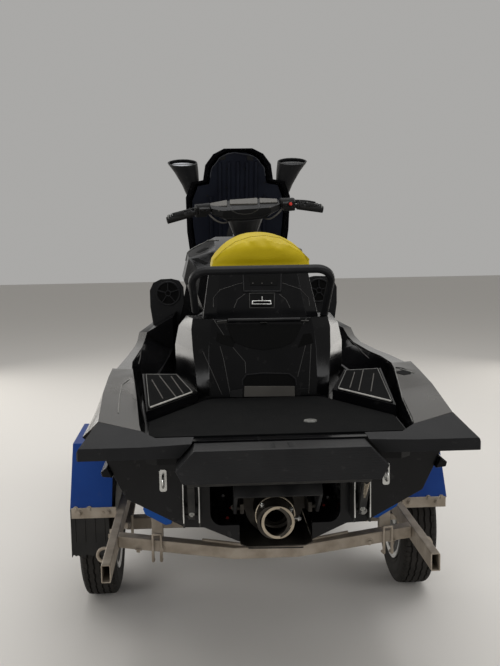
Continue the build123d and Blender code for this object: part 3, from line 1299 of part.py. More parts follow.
# Winch post with bow stop and winch
POST_REAR_Y = 3440
STOP_FACE_Y = HULL_SECTIONS[-1][0] + SEAT_GAP
STOP_Z = (862, 925)
with BuildPart() as winch_post:
    with BuildSketch(side(0)):
        with BuildLine():
            Polyline((POST_REAR_Y + 40, RAIL_TOP + SEAT_GAP), (POST_REAR_Y + 130, RAIL_TOP + SEAT_GAP),
                     (POST_REAR_Y + 62, STOP_Z[1] + 20), (POST_REAR_Y, STOP_Z[1] + 20), close=True)
        make_face()
        with BuildLine():
            Polyline((STOP_FACE_Y + 45, STOP_Z[0]), (POST_REAR_Y + 30, STOP_Z[0]),
                     (POST_REAR_Y + 30, STOP_Z[1]), (STOP_FACE_Y + 45, STOP_Z[1]), close=True)
        make_face()
    extrude(amount=25, both=True)
    with BuildSketch(level(720)):
        with Locations((0, POST_REAR_Y + 130)):
            Rectangle(110, 90)
            Rectangle(98, 90, mode=Mode.SUBTRACT)
    extrude(amount=110)
    with BuildSketch(level(720)):
        with Locations((0, POST_REAR_Y + 85)):
            Rectangle(110, 6)
    extrude(amount=110)
    with BuildSketch(side(-49)):
        with Locations((POST_REAR_Y + 135, 775)):
            Circle(20)
    extrude(amount=98)
winch_post.part.label = "winch_post"

with BuildPart() as bow_stop:
    with BuildSketch(side(0)):
        with BuildLine():
            Polyline((STOP_FACE_Y, STOP_Z[0] + 2), (STOP_FACE_Y + 45 - SEAT_GAP, STOP_Z[0] + 2),
                     (STOP_FACE_Y + 45 - SEAT_GAP, STOP_Z[1] - 2), (STOP_FACE_Y, STOP_Z[1] - 2),
                     close=True)
        make_face()
    extrude(amount=40, both=True)
bow_stop.part.label = "bow_stop"

# Jockey stand: clamp and outer tube on the drawbar, castor fork and wheel
JOCKEY_X = -78
JOCKEY_AXIS_Y = 3950
JOCKEY_TUBE = 24
JOCKEY_POST = 20
JOCKEY_WHEEL = 100
JOCKEY_TRAIL = 35
JOCKEY_WIDTH = 44
FORK_TOP = 224
jockey_tube_bottom = FORK_TOP + RUN_GAP + 2
with BuildPart() as jockey_tube:
    with BuildSketch(level(jockey_tube_bottom)):
        with Locations((JOCKEY_X, JOCKEY_AXIS_Y)):
            Circle(JOCKEY_TUBE)
    extrude(amount=620 - jockey_tube_bottom)
    with BuildSketch(level(RAIL_MIDDLE - 22)):
        with Locations(((JOCKEY_X - DRAWBAR_WIDTH / 2 - SEAT_GAP) / 2, JOCKEY_AXIS_Y)):
            Rectangle(-JOCKEY_X - DRAWBAR_WIDTH / 2 - SEAT_GAP, 60)
    extrude(amount=44)
    with BuildSketch(level(600)):
        with Locations((JOCKEY_X, JOCKEY_AXIS_Y + 50)):
            Rectangle(14, 120)
    extrude(amount=10)
    with BuildSketch(level(606)):
        with Locations((JOCKEY_X, JOCKEY_AXIS_Y + 102)):
            Circle(11)
    extrude(amount=80)
    with BuildSketch(level(jockey_tube_bottom)):
        with Locations((JOCKEY_X, JOCKEY_AXIS_Y)):
            Circle(JOCKEY_POST + SHAFT_GAP)
    extrude(amount=300, mode=Mode.SUBTRACT)
jockey_tube.part.label = "jockey_tube"

with BuildPart() as jockey_fork:
    with BuildSketch(level(FORK_TOP - 10)):
        with Locations((JOCKEY_X, JOCKEY_AXIS_Y - JOCKEY_TRAIL / 2)):
            RectangleRounded(2 * (JOCKEY_WIDTH / 2 + 13), JOCKEY_TRAIL + 60, 14)
    extrude(amount=10)
    with BuildSketch(level(FORK_TOP)):
        with Locations((JOCKEY_X, JOCKEY_AXIS_Y)):
            Circle(JOCKEY_POST)
    extrude(amount=250)
    for sign in (-1, 1):
        with BuildSketch(side(JOCKEY_X + sign * (JOCKEY_WIDTH / 2 + 9))):
            with BuildLine():
                Polyline((JOCKEY_AXIS_Y - JOCKEY_TRAIL - 18, JOCKEY_WHEEL - 16),
                         (JOCKEY_AXIS_Y - JOCKEY_TRAIL + 18, JOCKEY_WHEEL - 16),
                         (JOCKEY_AXIS_Y + 24, FORK_TOP - 5),
                         (JOCKEY_AXIS_Y - JOCKEY_TRAIL - 24, FORK_TOP - 5), close=True)
            make_face()
        extrude(amount=3, both=True)
    with BuildSketch(side(JOCKEY_X - JOCKEY_WIDTH / 2 - 16)):
        with Locations((JOCKEY_AXIS_Y - JOCKEY_TRAIL, JOCKEY_WHEEL)):
            Circle(8)
    extrude(amount=JOCKEY_WIDTH + 32)
jockey_fork.part.label = "jockey_fork"

with BuildPart() as jockey_wheel:
    with BuildSketch(side(JOCKEY_X)):
        with Locations((JOCKEY_AXIS_Y - JOCKEY_TRAIL, JOCKEY_WHEEL)):
            Circle(JOCKEY_WHEEL)
            Circle(8 + SHAFT_GAP, mode=Mode.SUBTRACT)
    extrude(amount=JOCKEY_WIDTH / 2, both=True)
jockey_wheel.part.label = "jockey_wheel"

craft_pieces = (hull, engine, gunwales, side_panels, platform, corner_bumpers, centre_bumper,
                tail_cowl, tail_crown, grab_handle, pedestal, rear_seat, front_seat, console,
                speaker_pods, gauge_pod, bow_deck, hood, hood_liner, mirrors, mirror_glass,
                deck_mats, steering_neck, bar_pad, handlebar, pump_housing, nozzle,
                reverse_bucket, ride_plate, intake_grate, sponsons, transom_eyes,
                step_brackets, boarding_step, cradle, bunks, bunk_posts)
trailer_pieces = (side_rails, drawbar_legs, drawbar, coupling, rear_crossbar, crossbars, axle,
                  leaf_springs, tyre_starboard, tyre_port, rim_starboard, rim_port, fenders,
                  fender_straps, mud_flap, keel_roller, winch_post, bow_stop, jockey_tube,
                  jockey_fork, jockey_wheel)

for pieces, shift in ((craft_pieces, CRAFT_SHIFT), (trailer_pieces, 0)):
    for piece in pieces:
        export_step(piece.part.moved(Location((shift, 0, 0))), f"parts/{piece.part.label}.step")
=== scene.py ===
import json
import math

import bmesh
import bpy
from mathutils import Euler, Matrix, Vector
from mathutils.bvhtree import BVHTree


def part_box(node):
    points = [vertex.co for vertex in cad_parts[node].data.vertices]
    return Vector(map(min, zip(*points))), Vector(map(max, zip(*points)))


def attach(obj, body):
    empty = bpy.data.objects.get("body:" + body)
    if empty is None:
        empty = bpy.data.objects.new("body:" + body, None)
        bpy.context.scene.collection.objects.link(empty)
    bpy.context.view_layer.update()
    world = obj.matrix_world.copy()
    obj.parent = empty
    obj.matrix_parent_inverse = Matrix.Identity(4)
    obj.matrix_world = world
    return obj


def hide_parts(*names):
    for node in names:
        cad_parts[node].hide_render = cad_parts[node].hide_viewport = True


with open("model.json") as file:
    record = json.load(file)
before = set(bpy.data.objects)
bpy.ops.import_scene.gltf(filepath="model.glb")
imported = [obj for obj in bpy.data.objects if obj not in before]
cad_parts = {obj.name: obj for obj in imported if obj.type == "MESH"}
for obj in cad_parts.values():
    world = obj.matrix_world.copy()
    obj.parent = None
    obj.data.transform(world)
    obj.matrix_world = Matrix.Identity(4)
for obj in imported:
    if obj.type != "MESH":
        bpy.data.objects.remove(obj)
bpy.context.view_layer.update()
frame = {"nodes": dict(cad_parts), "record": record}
nodes = frame["nodes"]

# Metres in the part's frame: +Y towards the bow, +X to starboard, +Z up.
# STERN is the line that the part's source measures its lengths from.
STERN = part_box("corner_bumpers")[0].y

# The craft sits a little to starboard of the trailer's middle.
CRAFT_X = (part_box("hull")[0].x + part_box("hull")[1].x) / 2


def at(x, y, z):
    """A point on the trailer, with its length measured from the stern line."""
    return Vector((x, STERN + y, z))


def aboard(x, y, z):
    """A point on the craft: x from the craft's own middle, y from the stern line."""
    return Vector((CRAFT_X + x, STERN + y, z))


UP, DOWN = Vector((0, 0, 1)), Vector((0, 0, -1))
AHEAD, ASTERN = Vector((0, 1, 0)), Vector((0, -1, 0))
BOTH_SIDES = (-1, 1)


def round_angles(count):
    """Angles spaced evenly round a circle."""
    return [2 * math.pi * index / count for index in range(count)]


# Camera solved from the photo's straight lines
CAMERA_PLACE = aboard(-0.232, -2.6894, 1.4812)
CAMERA_YAW = -0.0535
CAMERA_PITCH = math.radians(-6.71)
CAMERA_ROLL = math.radians(-0.95)
CAMERA_LENS = 49.57
CAMERA_SENSOR = 36


def place_camera():
    """Put the camera where the photo was taken from."""
    data = bpy.data.cameras.new("photo_camera")
    data.lens = CAMERA_LENS
    data.sensor_width = CAMERA_SENSOR
    data.sensor_fit = "AUTO"
    data.clip_end = 60
    camera = bpy.data.objects.new("photo_camera", data)
    bpy.context.scene.collection.objects.link(camera)
    look = Euler((math.pi / 2 + CAMERA_PITCH, 0, CAMERA_YAW)).to_matrix()
    turned = look @ Matrix.Rotation(CAMERA_ROLL, 3, "Z")
    camera.matrix_world = Matrix.Translation(CAMERA_PLACE) @ turned.to_4x4()
    bpy.context.scene.camera = camera


place_camera()

# Shader node groups


def new_group(name, inputs, outputs):
    """An empty shader group with named sockets, and its input and output nodes."""
    group = bpy.data.node_groups.new(name, "ShaderNodeTree")
    for label, kind, value in inputs:
        socket = group.interface.new_socket(name=label, in_out="INPUT", socket_type=kind)
        socket.default_value = value
    for label, kind in outputs:
        group.interface.new_socket(name=label, in_out="OUTPUT", socket_type=kind)
    return group, group.nodes.new("NodeGroupInput"), group.nodes.new("NodeGroupOutput")


FLOAT, COLOUR = "NodeSocketFloat", "NodeSocketColor"


def add_noise(tree, scale, detail=3.0, stretch=(1, 1, 1)):
    """A noise texture in the piece's own coordinates; scale is a number or a socket."""
    place = tree.nodes.new("ShaderNodeTexCoord")
    mapping = tree.nodes.new("ShaderNodeMapping")
    mapping.inputs["Scale"].default_value = stretch
    noise = tree.nodes.new("ShaderNodeTexNoise")
    noise.inputs["Detail"].default_value = detail
    tree.links.new(place.outputs["Object"], mapping.inputs["Vector"])
    tree.links.new(mapping.outputs["Vector"], noise.inputs["Vector"])
    if isinstance(scale, (int, float)):
        noise.inputs["Scale"].default_value = scale
    else:
        tree.links.new(scale, noise.inputs["Scale"])
    return noise


def add_math(tree, operation, first, second, third=None):
    """A math node on sockets or numbers; returns its output socket."""
    node = tree.nodes.new("ShaderNodeMath")
    node.operation = operation
    for socket, value in zip(node.inputs, (first, second, third)):
        if value is None:
            continue
        if isinstance(value, (int, float)):
            socket.default_value = value
        else:
            tree.links.new(value, socket)
    return node.outputs[0]


def add_mix(tree, share, first, second):
    """Mix two colours; each argument is a socket or a value."""
    node = tree.nodes.new("ShaderNodeMix")
    node.data_type = "RGBA"
    for socket, value in ((node.inputs[0], share), (node.inputs[6], first),
                          (node.inputs[7], second)):
        if isinstance(value, (int, float, tuple)):
            socket.default_value = value
        else:
            tree.links.new(value, socket)
    return node.outputs[2]


def make_tone_group():
    """Slow light and dark patches in a colour, and the same patches in its roughness."""
    group, given, result = new_group(
        "uneven_tone",
        [("Colour", COLOUR, (0.5, 0.5, 0.5, 1)), ("Other Colour", COLOUR, (0.5, 0.5, 0.5, 1)),
         ("Scale", FLOAT, 6.0), ("Roughness", FLOAT, 0.5), ("Swing", FLOAT, 0.1)],
        [("Colour", COLOUR), ("Roughness", FLOAT)])
    noise = add_noise(group, given.outputs["Scale"], 4.0)
    spread = group.nodes.new("ShaderNodeMapRange")
    spread.inputs["From Min"].default_value = 0.35
    spread.inputs["From Max"].default_value = 0.65
    group.links.new(noise.outputs["Fac"], spread.inputs["Value"])
    share = spread.outputs["Result"]
    group.links.new(add_mix(group, share, given.outputs["Colour"], given.outputs["Other Colour"]),
                    result.inputs["Colour"])
    shifted = add_math(group, "MULTIPLY_ADD", share, given.outputs["Swing"],
                       given.outputs["Roughness"])
    group.links.new(shifted, result.inputs["Roughness"])
    return group


def make_grain_group():
    """Fine pebbled grain of moulded plastic, rubber or vinyl, as a height."""
    group, given, result = new_group(
        "pebbled_grain", [("Scale", FLOAT, 300.0), ("Softness", FLOAT, 0.5)],
        [("Height", FLOAT)])
    place = group.nodes.new("ShaderNodeTexCoord")
    cells = group.nodes.new("ShaderNodeTexVoronoi")
    cells.feature = "SMOOTH_F1"
    group.links.new(place.outputs["Object"], cells.inputs["Vector"])
    group.links.new(given.outputs["Scale"], cells.inputs["Scale"])
    group.links.new(given.outputs["Softness"], cells.inputs["Smoothness"])
    noise = add_noise(group, add_math(group, "MULTIPLY", given.outputs["Scale"], 0.35), 5.0)
    summed = add_math(group, "MULTIPLY_ADD", noise.outputs["Fac"], 0.6,
                      cells.outputs["Distance"])
    group.links.new(summed, result.inputs["Height"])
    return group


def make_dust_group():
    """A thin film of pale dust that gathers on what faces up."""
    group, given, result = new_group(
        "settled_dust",
        [("Colour", COLOUR, (0.5, 0.5, 0.5, 1)), ("Dust", COLOUR, (0.35, 0.32, 0.28, 1)),
         ("Amount", FLOAT, 0.1), ("Roughness", FLOAT, 0.5)],
        [("Colour", COLOUR), ("Roughness", FLOAT)])
    facing = group.nodes.new("ShaderNodeNewGeometry")
    split = group.nodes.new("ShaderNodeSeparateXYZ")
    group.links.new(facing.outputs["Normal"], split.inputs[0])
    up = add_math(group, "MAXIMUM", split.outputs["Z"], 0.15)
    patches = add_noise(group, 14.0, 6.0)
    specks = add_noise(group, 420.0, 2.0)
    film = add_math(group, "MULTIPLY", add_math(group, "MULTIPLY", up, patches.outputs["Fac"]),
                    add_math(group, "ADD", specks.outputs["Fac"], 0.5))
    share = add_math(group, "MULTIPLY", film, given.outputs["Amount"])
    group.links.new(add_mix(group, share, given.outputs["Colour"], given.outputs["Dust"]),
                    result.inputs["Colour"])
    rough = add_math(group, "MULTIPLY_ADD", share, 0.6, given.outputs["Roughness"])
    group.links.new(rough, result.inputs["Roughness"])
    return group


def make_scratch_group():
    """Long fine scuffs that run fore and aft, as a mask."""
    group, given, result = new_group(
        "fine_scuffs", [("Scale", FLOAT, 40.0), ("Amount", FLOAT, 0.5)], [("Mask", FLOAT)])
    noise = add_noise(group, given.outputs["Scale"], 6.0, (1.0, 0.06, 1.0))
    line = add_math(group, "GREATER_THAN", noise.outputs["Fac"], 0.66)
    group.links.new(add_math(group, "MULTIPLY", line, given.outputs["Amount"]),
                    result.inputs["Mask"])
    return group


uneven_tone = make_tone_group()
pebbled_grain = make_grain_group()
settled_dust = make_dust_group()
fine_scuffs = make_scratch_group()


def use_group(tree, group, **values):
    """Place a group in a material and set its named inputs to values or sockets."""
    node = tree.nodes.new("ShaderNodeGroup")
    node.node_tree = group
    for label, value in values.items():
        socket = node.inputs[label.replace("_", " ")]
        if isinstance(value, (int, float, tuple)):
            socket.default_value = value
        else:
            tree.links.new(value, socket)
    return node


def rgb(red, green, blue):
    """A colour written as linear light."""
    return (red, green, blue, 1.0)


SCUFF_COLOUR = rgb(0.09, 0.088, 0.085)
COAT_ROUGHNESS = 0.06
GRAIN_STRENGTH = 0.35
GROOVE_STRENGTH = 0.5
GROOVE_DEPTH = 0.001


def finish(name, colour, other, roughness, metallic=0.0, coat=0.0, specular=0.5,
           tone_scale=6.0, swing=0.08, grain=None, grain_depth=0.0, dust=0.0, scuffs=0.0,
           grooves=0.0):
    """A finish with uneven tone, dust and, if asked, a pebbled grain, scuffs and grooves."""
    material = bpy.data.materials.new(name)
    material.use_nodes = True
    tree = material.node_tree
    shader = tree.nodes["Principled BSDF"]
    shader.inputs["Metallic"].default_value = metallic
    shader.inputs["Coat Weight"].default_value = coat
    shader.inputs["Coat Roughness"].default_value = COAT_ROUGHNESS
    shader.inputs["Specular IOR Level"].default_value = specular
    tone = use_group(tree, uneven_tone, Colour=colour, Other_Colour=other, Scale=tone_scale,
                     Roughness=roughness, Swing=swing)
    colour_out = tone.outputs["Colour"]
    if scuffs:
        marks = use_group(tree, fine_scuffs, Amount=scuffs)
        colour_out = add_mix(tree, marks.outputs["Mask"], colour_out, SCUFF_COLOUR)
    film = use_group(tree, settled_dust, Colour=colour_out, Amount=dust,
                     Roughness=tone.outputs["Roughness"])
    tree.links.new(film.outputs["Colour"], shader.inputs["Base Color"])
    tree.links.new(film.outputs["Roughness"], shader.inputs["Roughness"])
    if grain:
        pebbles = use_group(tree, pebbled_grain, Scale=grain)
        bump = tree.nodes.new("ShaderNodeBump")
        bump.inputs["Strength"].default_value = GRAIN_STRENGTH
        bump.inputs["Distance"].default_value = grain_depth
        tree.links.new(pebbles.outputs["Height"], bump.inputs["Height"])
        tree.links.new(bump.outputs["Normal"], shader.inputs["Normal"])
        if grooves:
            place = tree.nodes.new("ShaderNodeTexCoord")
            rows = tree.nodes.new("ShaderNodeTexWave")
            rows.bands_direction = "Z"
            rows.inputs["Scale"].default_value = grooves
            tree.links.new(place.outputs["Object"], rows.inputs["Vector"])
            cut = tree.nodes.new("ShaderNodeBump")
            cut.inputs["Strength"].default_value = GROOVE_STRENGTH
            cut.inputs["Distance"].default_value = GROOVE_DEPTH
            tree.links.new(rows.outputs["Fac"], cut.inputs["Height"])
            tree.links.new(cut.outputs["Normal"], bump.inputs["Normal"])
    return material


materials = {
    "hull_black": finish("black_gelcoat", rgb(0.003, 0.003, 0.0035), rgb(0.005, 0.005, 0.006),
                         0.2, specular=0.22, swing=0.05, dust=0.01, scuffs=0.1),
    "deck_black": finish("black_deck_gloss", rgb(0.0015, 0.0016, 0.002), rgb(0.003, 0.003, 0.0035),
                         0.16, specular=0.16, swing=0.05, dust=0.004, scuffs=0.05),
    "metallic_grey": finish("metallic_grey_paint", rgb(0.06, 0.056, 0.05),
                            rgb(0.09, 0.085, 0.078), 0.2, metallic=0.7, coat=0.6,
                            tone_scale=3.0, dust=0.02, scuffs=0.1),
    "bumper_grey": finish("matte_grey_plastic", rgb(0.006, 0.0062, 0.007),
                          rgb(0.01, 0.0102, 0.011), 0.5, specular=0.14, grain=700.0,
                          grain_depth=0.0006, dust=0.015, scuffs=0.08),
    "bumper_grooved": finish("grooved_grey_plastic", rgb(0.006, 0.0062, 0.007),
                             rgb(0.01, 0.0102, 0.011), 0.42, specular=0.2, grain=700.0,
                             grain_depth=0.0006, dust=0.015, scuffs=0.08, grooves=40.0),
    "seat_black": finish("black_vinyl", rgb(0.014, 0.014, 0.015), rgb(0.02, 0.02, 0.021),
                         0.46, specular=0.25, grain=450.0, grain_depth=0.0008, dust=0.02),
    "seat_yellow": finish("yellow_vinyl", rgb(0.4, 0.3, 0.001), rgb(0.45, 0.34, 0.0015),
                          0.5, specular=0.2, grain=450.0, grain_depth=0.0008, dust=0.01),
    "mat_grey": finish("black_foam_mat", rgb(0.002, 0.0023, 0.0026), rgb(0.0035, 0.0038, 0.0041),
                       0.85, specular=0.05, grain=320.0, grain_depth=0.0015, dust=0.012),
    "navy_liner": finish("navy_liner", rgb(0.004, 0.005, 0.010), rgb(0.006, 0.008, 0.015),
                         0.42, specular=0.2, grain=600.0, grain_depth=0.0005, dust=0.01),
    # The mirror glass reflects little, so it shows dark: its low reflectance is a painted dark
    # reflection.
    "mirror_face": finish("darkened_mirror_glass", rgb(0.08, 0.084, 0.095), rgb(0.1, 0.105, 0.12), 0.05,
                          metallic=1.0, swing=0.02, dust=0.05),
    "stainless": finish("stainless_steel", rgb(0.52, 0.52, 0.5), rgb(0.6, 0.6, 0.58), 0.26,
                        metallic=1.0, tone_scale=30.0, dust=0.1),
    "step_steel": finish("black_step_steel", rgb(0.012, 0.012, 0.012), rgb(0.03, 0.029, 0.027),
                         0.38, metallic=0.2, specular=0.3, tone_scale=22.0, dust=0.04),
    "pump_alloy": finish("cast_pump_alloy", rgb(0.018, 0.015, 0.012), rgb(0.05, 0.044, 0.036),
                         0.45, metallic=0.6, tone_scale=24.0, grain=500.0, grain_depth=0.0008,
                         dust=0.04),
    "nozzle_bronze": finish("nozzle_bronze", rgb(0.34, 0.29, 0.22), rgb(0.45, 0.39, 0.3),
                            0.34, metallic=0.8, tone_scale=30.0, grain=500.0,
                            grain_depth=0.0005, dust=0.1),
    "bracket_black": finish("black_bracket", rgb(0.01, 0.01, 0.011), rgb(0.02, 0.02, 0.02),
                            0.4, metallic=0.1, specular=0.25, tone_scale=14.0, dust=0.02),
    "engine_iron": finish("engine_iron", rgb(0.05, 0.05, 0.05), rgb(0.08, 0.08, 0.08), 0.6,
                          metallic=0.6),
    "galvanised": finish("galvanised_steel", rgb(0.24, 0.2, 0.155), rgb(0.38, 0.33, 0.27), 0.55,
                         metallic=0.5, tone_scale=18.0, swing=0.15, dust=0.15),
    "bunk_blue": finish("bunk_carpet", rgb(0.008, 0.06, 0.27), rgb(0.015, 0.085, 0.34), 0.95,
                        specular=0.2, grain=500.0, grain_depth=0.004, dust=0.15),
    "fender_blue": finish("blue_paint", rgb(0.002, 0.03, 0.17), rgb(0.003, 0.038, 0.2), 0.35,
                          specular=0.2, dust=0.015, scuffs=0.06),
    "tyre_rubber": finish("tyre_rubber", rgb(0.01, 0.009, 0.008), rgb(0.02, 0.018, 0.016),
                          0.8, specular=0.2, tone_scale=16.0, grain=260.0, grain_depth=0.001,
                          dust=0.12),
    "rim_silver": finish("silver_rim_paint", rgb(0.5, 0.5, 0.49), rgb(0.62, 0.62, 0.6), 0.38,
                         metallic=0.7, tone_scale=20.0, dust=0.3),
    "flap_rubber": finish("flap_rubber", rgb(0.012, 0.012, 0.012), rgb(0.024, 0.023, 0.022),
                          0.7, specular=0.15, grain=300.0, grain_depth=0.001, dust=0.1),
    "roller_rubber": finish("roller_rubber", rgb(0.014, 0.014, 0.014), rgb(0.026, 0.026, 0.026),
                            0.65, grain=300.0, grain_depth=0.001, dust=0.2),
    "grip_rubber": finish("grip_rubber", rgb(0.005, 0.005, 0.0055), rgb(0.008, 0.008, 0.008), 0.6,
                          specular=0.2, grain=400.0, grain_depth=0.0008),
    "seam_grey": finish("seam_grey", rgb(0.09, 0.09, 0.085), rgb(0.15, 0.15, 0.14), 0.4,
                        metallic=0.3, tone_scale=20.0, dust=0.1),
    "edge_grey": finish("edge_grey", rgb(0.022, 0.022, 0.021), rgb(0.035, 0.034, 0.032), 0.45,
                        specular=0.3, tone_scale=20.0, dust=0.05),
    "strip_grey": finish("strip_grey", rgb(0.045, 0.042, 0.037), rgb(0.06, 0.056, 0.05), 0.5,
                         specular=0.3, grain=500.0, grain_depth=0.0005, dust=0.08),
    # A pale finish for the rear edges of the ramp mats: painted highlight along the edges.
    "mat_edge_painted_highlight": finish("painted_mat_edge_highlight", rgb(0.3, 0.29, 0.27), rgb(0.42, 0.41, 0.38), 0.7,
                        tone_scale=40.0, dust=0.1),
    # Near-black with little sheen: as plates in recesses, wells, slots and pockets it is painted
    # shade; on the speaker cones it is their own black, and on the cowl's middle panel it is the
    # panel's black with painted shade of its hollow.
    "black_and_painted_shade": finish("black_recess_painted_shade", rgb(0.001, 0.001, 0.001), rgb(0.002, 0.002, 0.002), 0.7,
                         specular=0.1),
    "button_red": finish("button_red", rgb(0.5, 0.02, 0.012), rgb(0.6, 0.03, 0.015), 0.35,
                         tone_scale=60.0, dust=0.05),
    "hood_trim": finish("hood_trim", rgb(0.015, 0.017, 0.024), rgb(0.024, 0.027, 0.036), 0.4,
                        dust=0.04),
    "thread_olive": finish("thread_olive", rgb(0.2, 0.15, 0.004), rgb(0.28, 0.21, 0.006), 0.8,
                           specular=0.2, tone_scale=200.0),
}

slot_of = {part["node"]: part["material_slot"] for part in frame["record"]["subparts"]}
NODE_LOOKS = {"centre_bumper": "bumper_grooved"}

# Edge rounding of the carried-over nodes, in metres
EDGE_ROUND = 0.003
FINE_ROUND = 0.0012
FINE_NODES = {"transom_eyes", "mirror_glass", "fender_straps", "mud_flap", "fenders",
              "step_brackets", "leaf_springs", "intake_grate", "ride_plate", "side_rails",
              "drawbar", "deck_mats", "side_panels"}
FLAT_ANGLE = math.radians(0.6)
EDGE_ANGLE = math.radians(28)
WELD_GAP = 0.00002


def soften(node):
    """Round a carried-over node's hard edges with modifiers; its mesh stays as it is."""
    piece = nodes[node]
    weld = piece.modifiers.new("weld", "WELD")
    weld.merge_threshold = WELD_GAP
    planar = piece.modifiers.new("planar", "DECIMATE")
    planar.decimate_type = "DISSOLVE"
    planar.angle_limit = FLAT_ANGLE
    rounding = piece.modifiers.new("rounding", "BEVEL")
    rounding.limit_method = "ANGLE"
    rounding.angle_limit = EDGE_ANGLE
    rounding.width = FINE_ROUND if node in FINE_NODES else EDGE_ROUND
    rounding.segments = 2
    shading = piece.modifiers.new("shading", "WEIGHTED_NORMAL")
    shading.keep_sharp = False


def dress_nodes():
    """Give every carried-over node its finish and rounded edges."""
    for name, piece in nodes.items():
        piece.data.materials.clear()
        piece.data.materials.append(materials[NODE_LOOKS.get(name, slot_of[name])])
        soften(name)


dress_nodes()

# Making pieces and setting them on the nodes

BASE = "craft_on_trailer"
PHOTO_SIZE = (500, 666)
FOCUS = CAMERA_LENS / CAMERA_SENSOR * PHOTO_SIZE[1]

# A line that misses its surface is followed in steps, to find where it passes nearest
FEEL_STEP = 0.02
FEEL_COUNT = 300

# Steps along a run in the photograph, in its pixels, and how deep a laid plate is sunk
PHOTO_STEP = 2
PLATE_SUNK = 0.002
skins = {}


def skin_of(host):
    """The searchable surface of a node or piece, as it is shown."""
    if host not in skins:
        shown = bpy.data.objects[host].evaluated_get(bpy.context.evaluated_depsgraph_get())
        mesh = shown.to_mesh()
        points = [shown.matrix_world @ vertex.co for vertex in mesh.vertices]
        faces = [tuple(face.vertices) for face in mesh.polygons]
        shown.to_mesh_clear()
        skins[host] = BVHTree.FromPolygons(points, faces)
    return skins[host]


def touch(start, way, host):
    """Where a line first meets a surface, or passes nearest to it, and its outward direction."""
    place, normal, _, _ = skin_of(host).ray_cast(start, way)
    if place is None:
        misses = (skin_of(host).find_nearest(start + way * step * FEEL_STEP)
                  for step in range(1, FEEL_COUNT))
        place, normal, _, _ = min(misses, key=lambda miss: miss[3])
    return place, (normal if normal.dot(way) < 0 else -normal)


def seen(across, down, host):
    """The place on a node that shows at this point of the photograph."""
    eye = bpy.context.scene.camera.matrix_world
    way = Vector(((across - PHOTO_SIZE[0] / 2) / FOCUS, (PHOTO_SIZE[1] / 2 - down) / FOCUS, -1))
    return touch(eye.translation, (eye.to_3x3() @ way).normalized(), host)


def dress(piece, look, body=BASE):
    """Put a piece in the scene with its finish and body."""
    if piece.name not in bpy.context.scene.collection.objects:
        bpy.context.scene.collection.objects.link(piece)
    piece.data.materials.clear()
    piece.data.materials.append(materials[look])
    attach(piece, body)
    return piece


class Forms:
    """Closed shapes gathered into one mesh."""

    def __init__(self):
        self.points, self.faces = [], []

    def shell(self, points, faces):
        """Add a closed shape from its points and faces."""
        first = len(self.points)
        self.points += [tuple(point) for point in points]
        self.faces += [[first + index for index in face] for face in faces]

    def prism(self, outline, way, taper=1.0):
        """A closed outline pushed along a vector, its far end scaled by taper."""
        count = len(outline)
        near = list(range(count))
        middle = sum((Vector(p) for p in outline), Vector()) / count
        far = [middle + (Vector(p) - middle) * taper + way for p in outline]
        sides = [(i, (i + 1) % count, count + (i + 1) % count, count + i) for i in near]
        self.shell([*outline, *far], [near[::-1], [count + i for i in near], *sides])

    def block(self, frame_of, low, high):
        """A box between two corners, in a frame's own axes."""
        corners = [(low[0], low[1]), (high[0], low[1]), (high[0], high[1]), (low[0], high[1])]
        way = frame_of.to_3x3() @ Vector((0, 0, high[2] - low[2]))
        self.prism([frame_of @ Vector((x, y, low[2])) for x, y in corners], way)

    def rod(self, start, end, radius, sides=16, taper=1.0):
        """A round rod, or with a taper a cone, between two points."""
        way = Vector(end) - Vector(start)
        turn = way.to_track_quat("Z", "Y").to_matrix()
        circle = [turn @ Vector((radius * math.cos(t), radius * math.sin(t), 0))
                  for t in round_angles(sides)]
        self.prism([Vector(start) + p for p in circle], way, taper)

    def ring(self, centre, axis, inner, outer, height, sides=40):
        """A flat ring standing on a surface."""
        turn = Vector(axis).to_track_quat("Z", "Y").to_matrix()
        rows = ((inner, 0), (outer, 0), (outer, height * 0.7), (outer - height * 0.3, height),
                (inner + height * 0.3, height), (inner, height * 0.7))
        points, faces, count = [], [], len(rows)
        for i, t in enumerate(round_angles(sides)):
            points += [Vector(centre) + turn @ Vector((r * math.cos(t), r * math.sin(t), h))
                       for r, h in rows]
            after = (i + 1) % sides
            faces += [(i * count + j, after * count + j, after * count + (j + 1) % count,
                       i * count + (j + 1) % count) for j in range(count)]
        self.shell(points, faces)

    def bolt(self, place, axis, radius):
        """A hexagon bolt head on its washer."""
        axis = Vector(axis).normalized()
        self.rod(place - axis * 0.001, place + axis * radius * 0.3, radius * 1.7, 20, 0.94)
        self.rod(place, place + axis * radius * 1.3, radius, 6, 0.95)

    def piece(self, name, look, body=BASE, edge=0.0):
        """Turn the shapes into one named piece, with its edges rounded if asked."""
        mesh = bpy.data.meshes.new(name)
        mesh.from_pydata(self.points, [], self.faces)
        work = bmesh.new()
        work.from_mesh(mesh)
        bmesh.ops.recalc_face_normals(work, faces=work.faces)
        work.to_mesh(mesh)
        work.free()
        mesh.polygons.foreach_set("use_smooth", [True] * len(mesh.polygons))
        mesh.set_sharp_from_angle(angle=EDGE_ANGLE)
        piece = bpy.data.objects.new(name, mesh)
        if edge:
            rounding = piece.modifiers.new("rounding", "BEVEL")
            rounding.limit_method = "ANGLE"
            rounding.angle_limit = EDGE_ANGLE
            rounding.width = edge
            rounding.segments = 2
            piece.modifiers.new("shading", "WEIGHTED_NORMAL").keep_sharp = False
        return dress(piece, look, body)


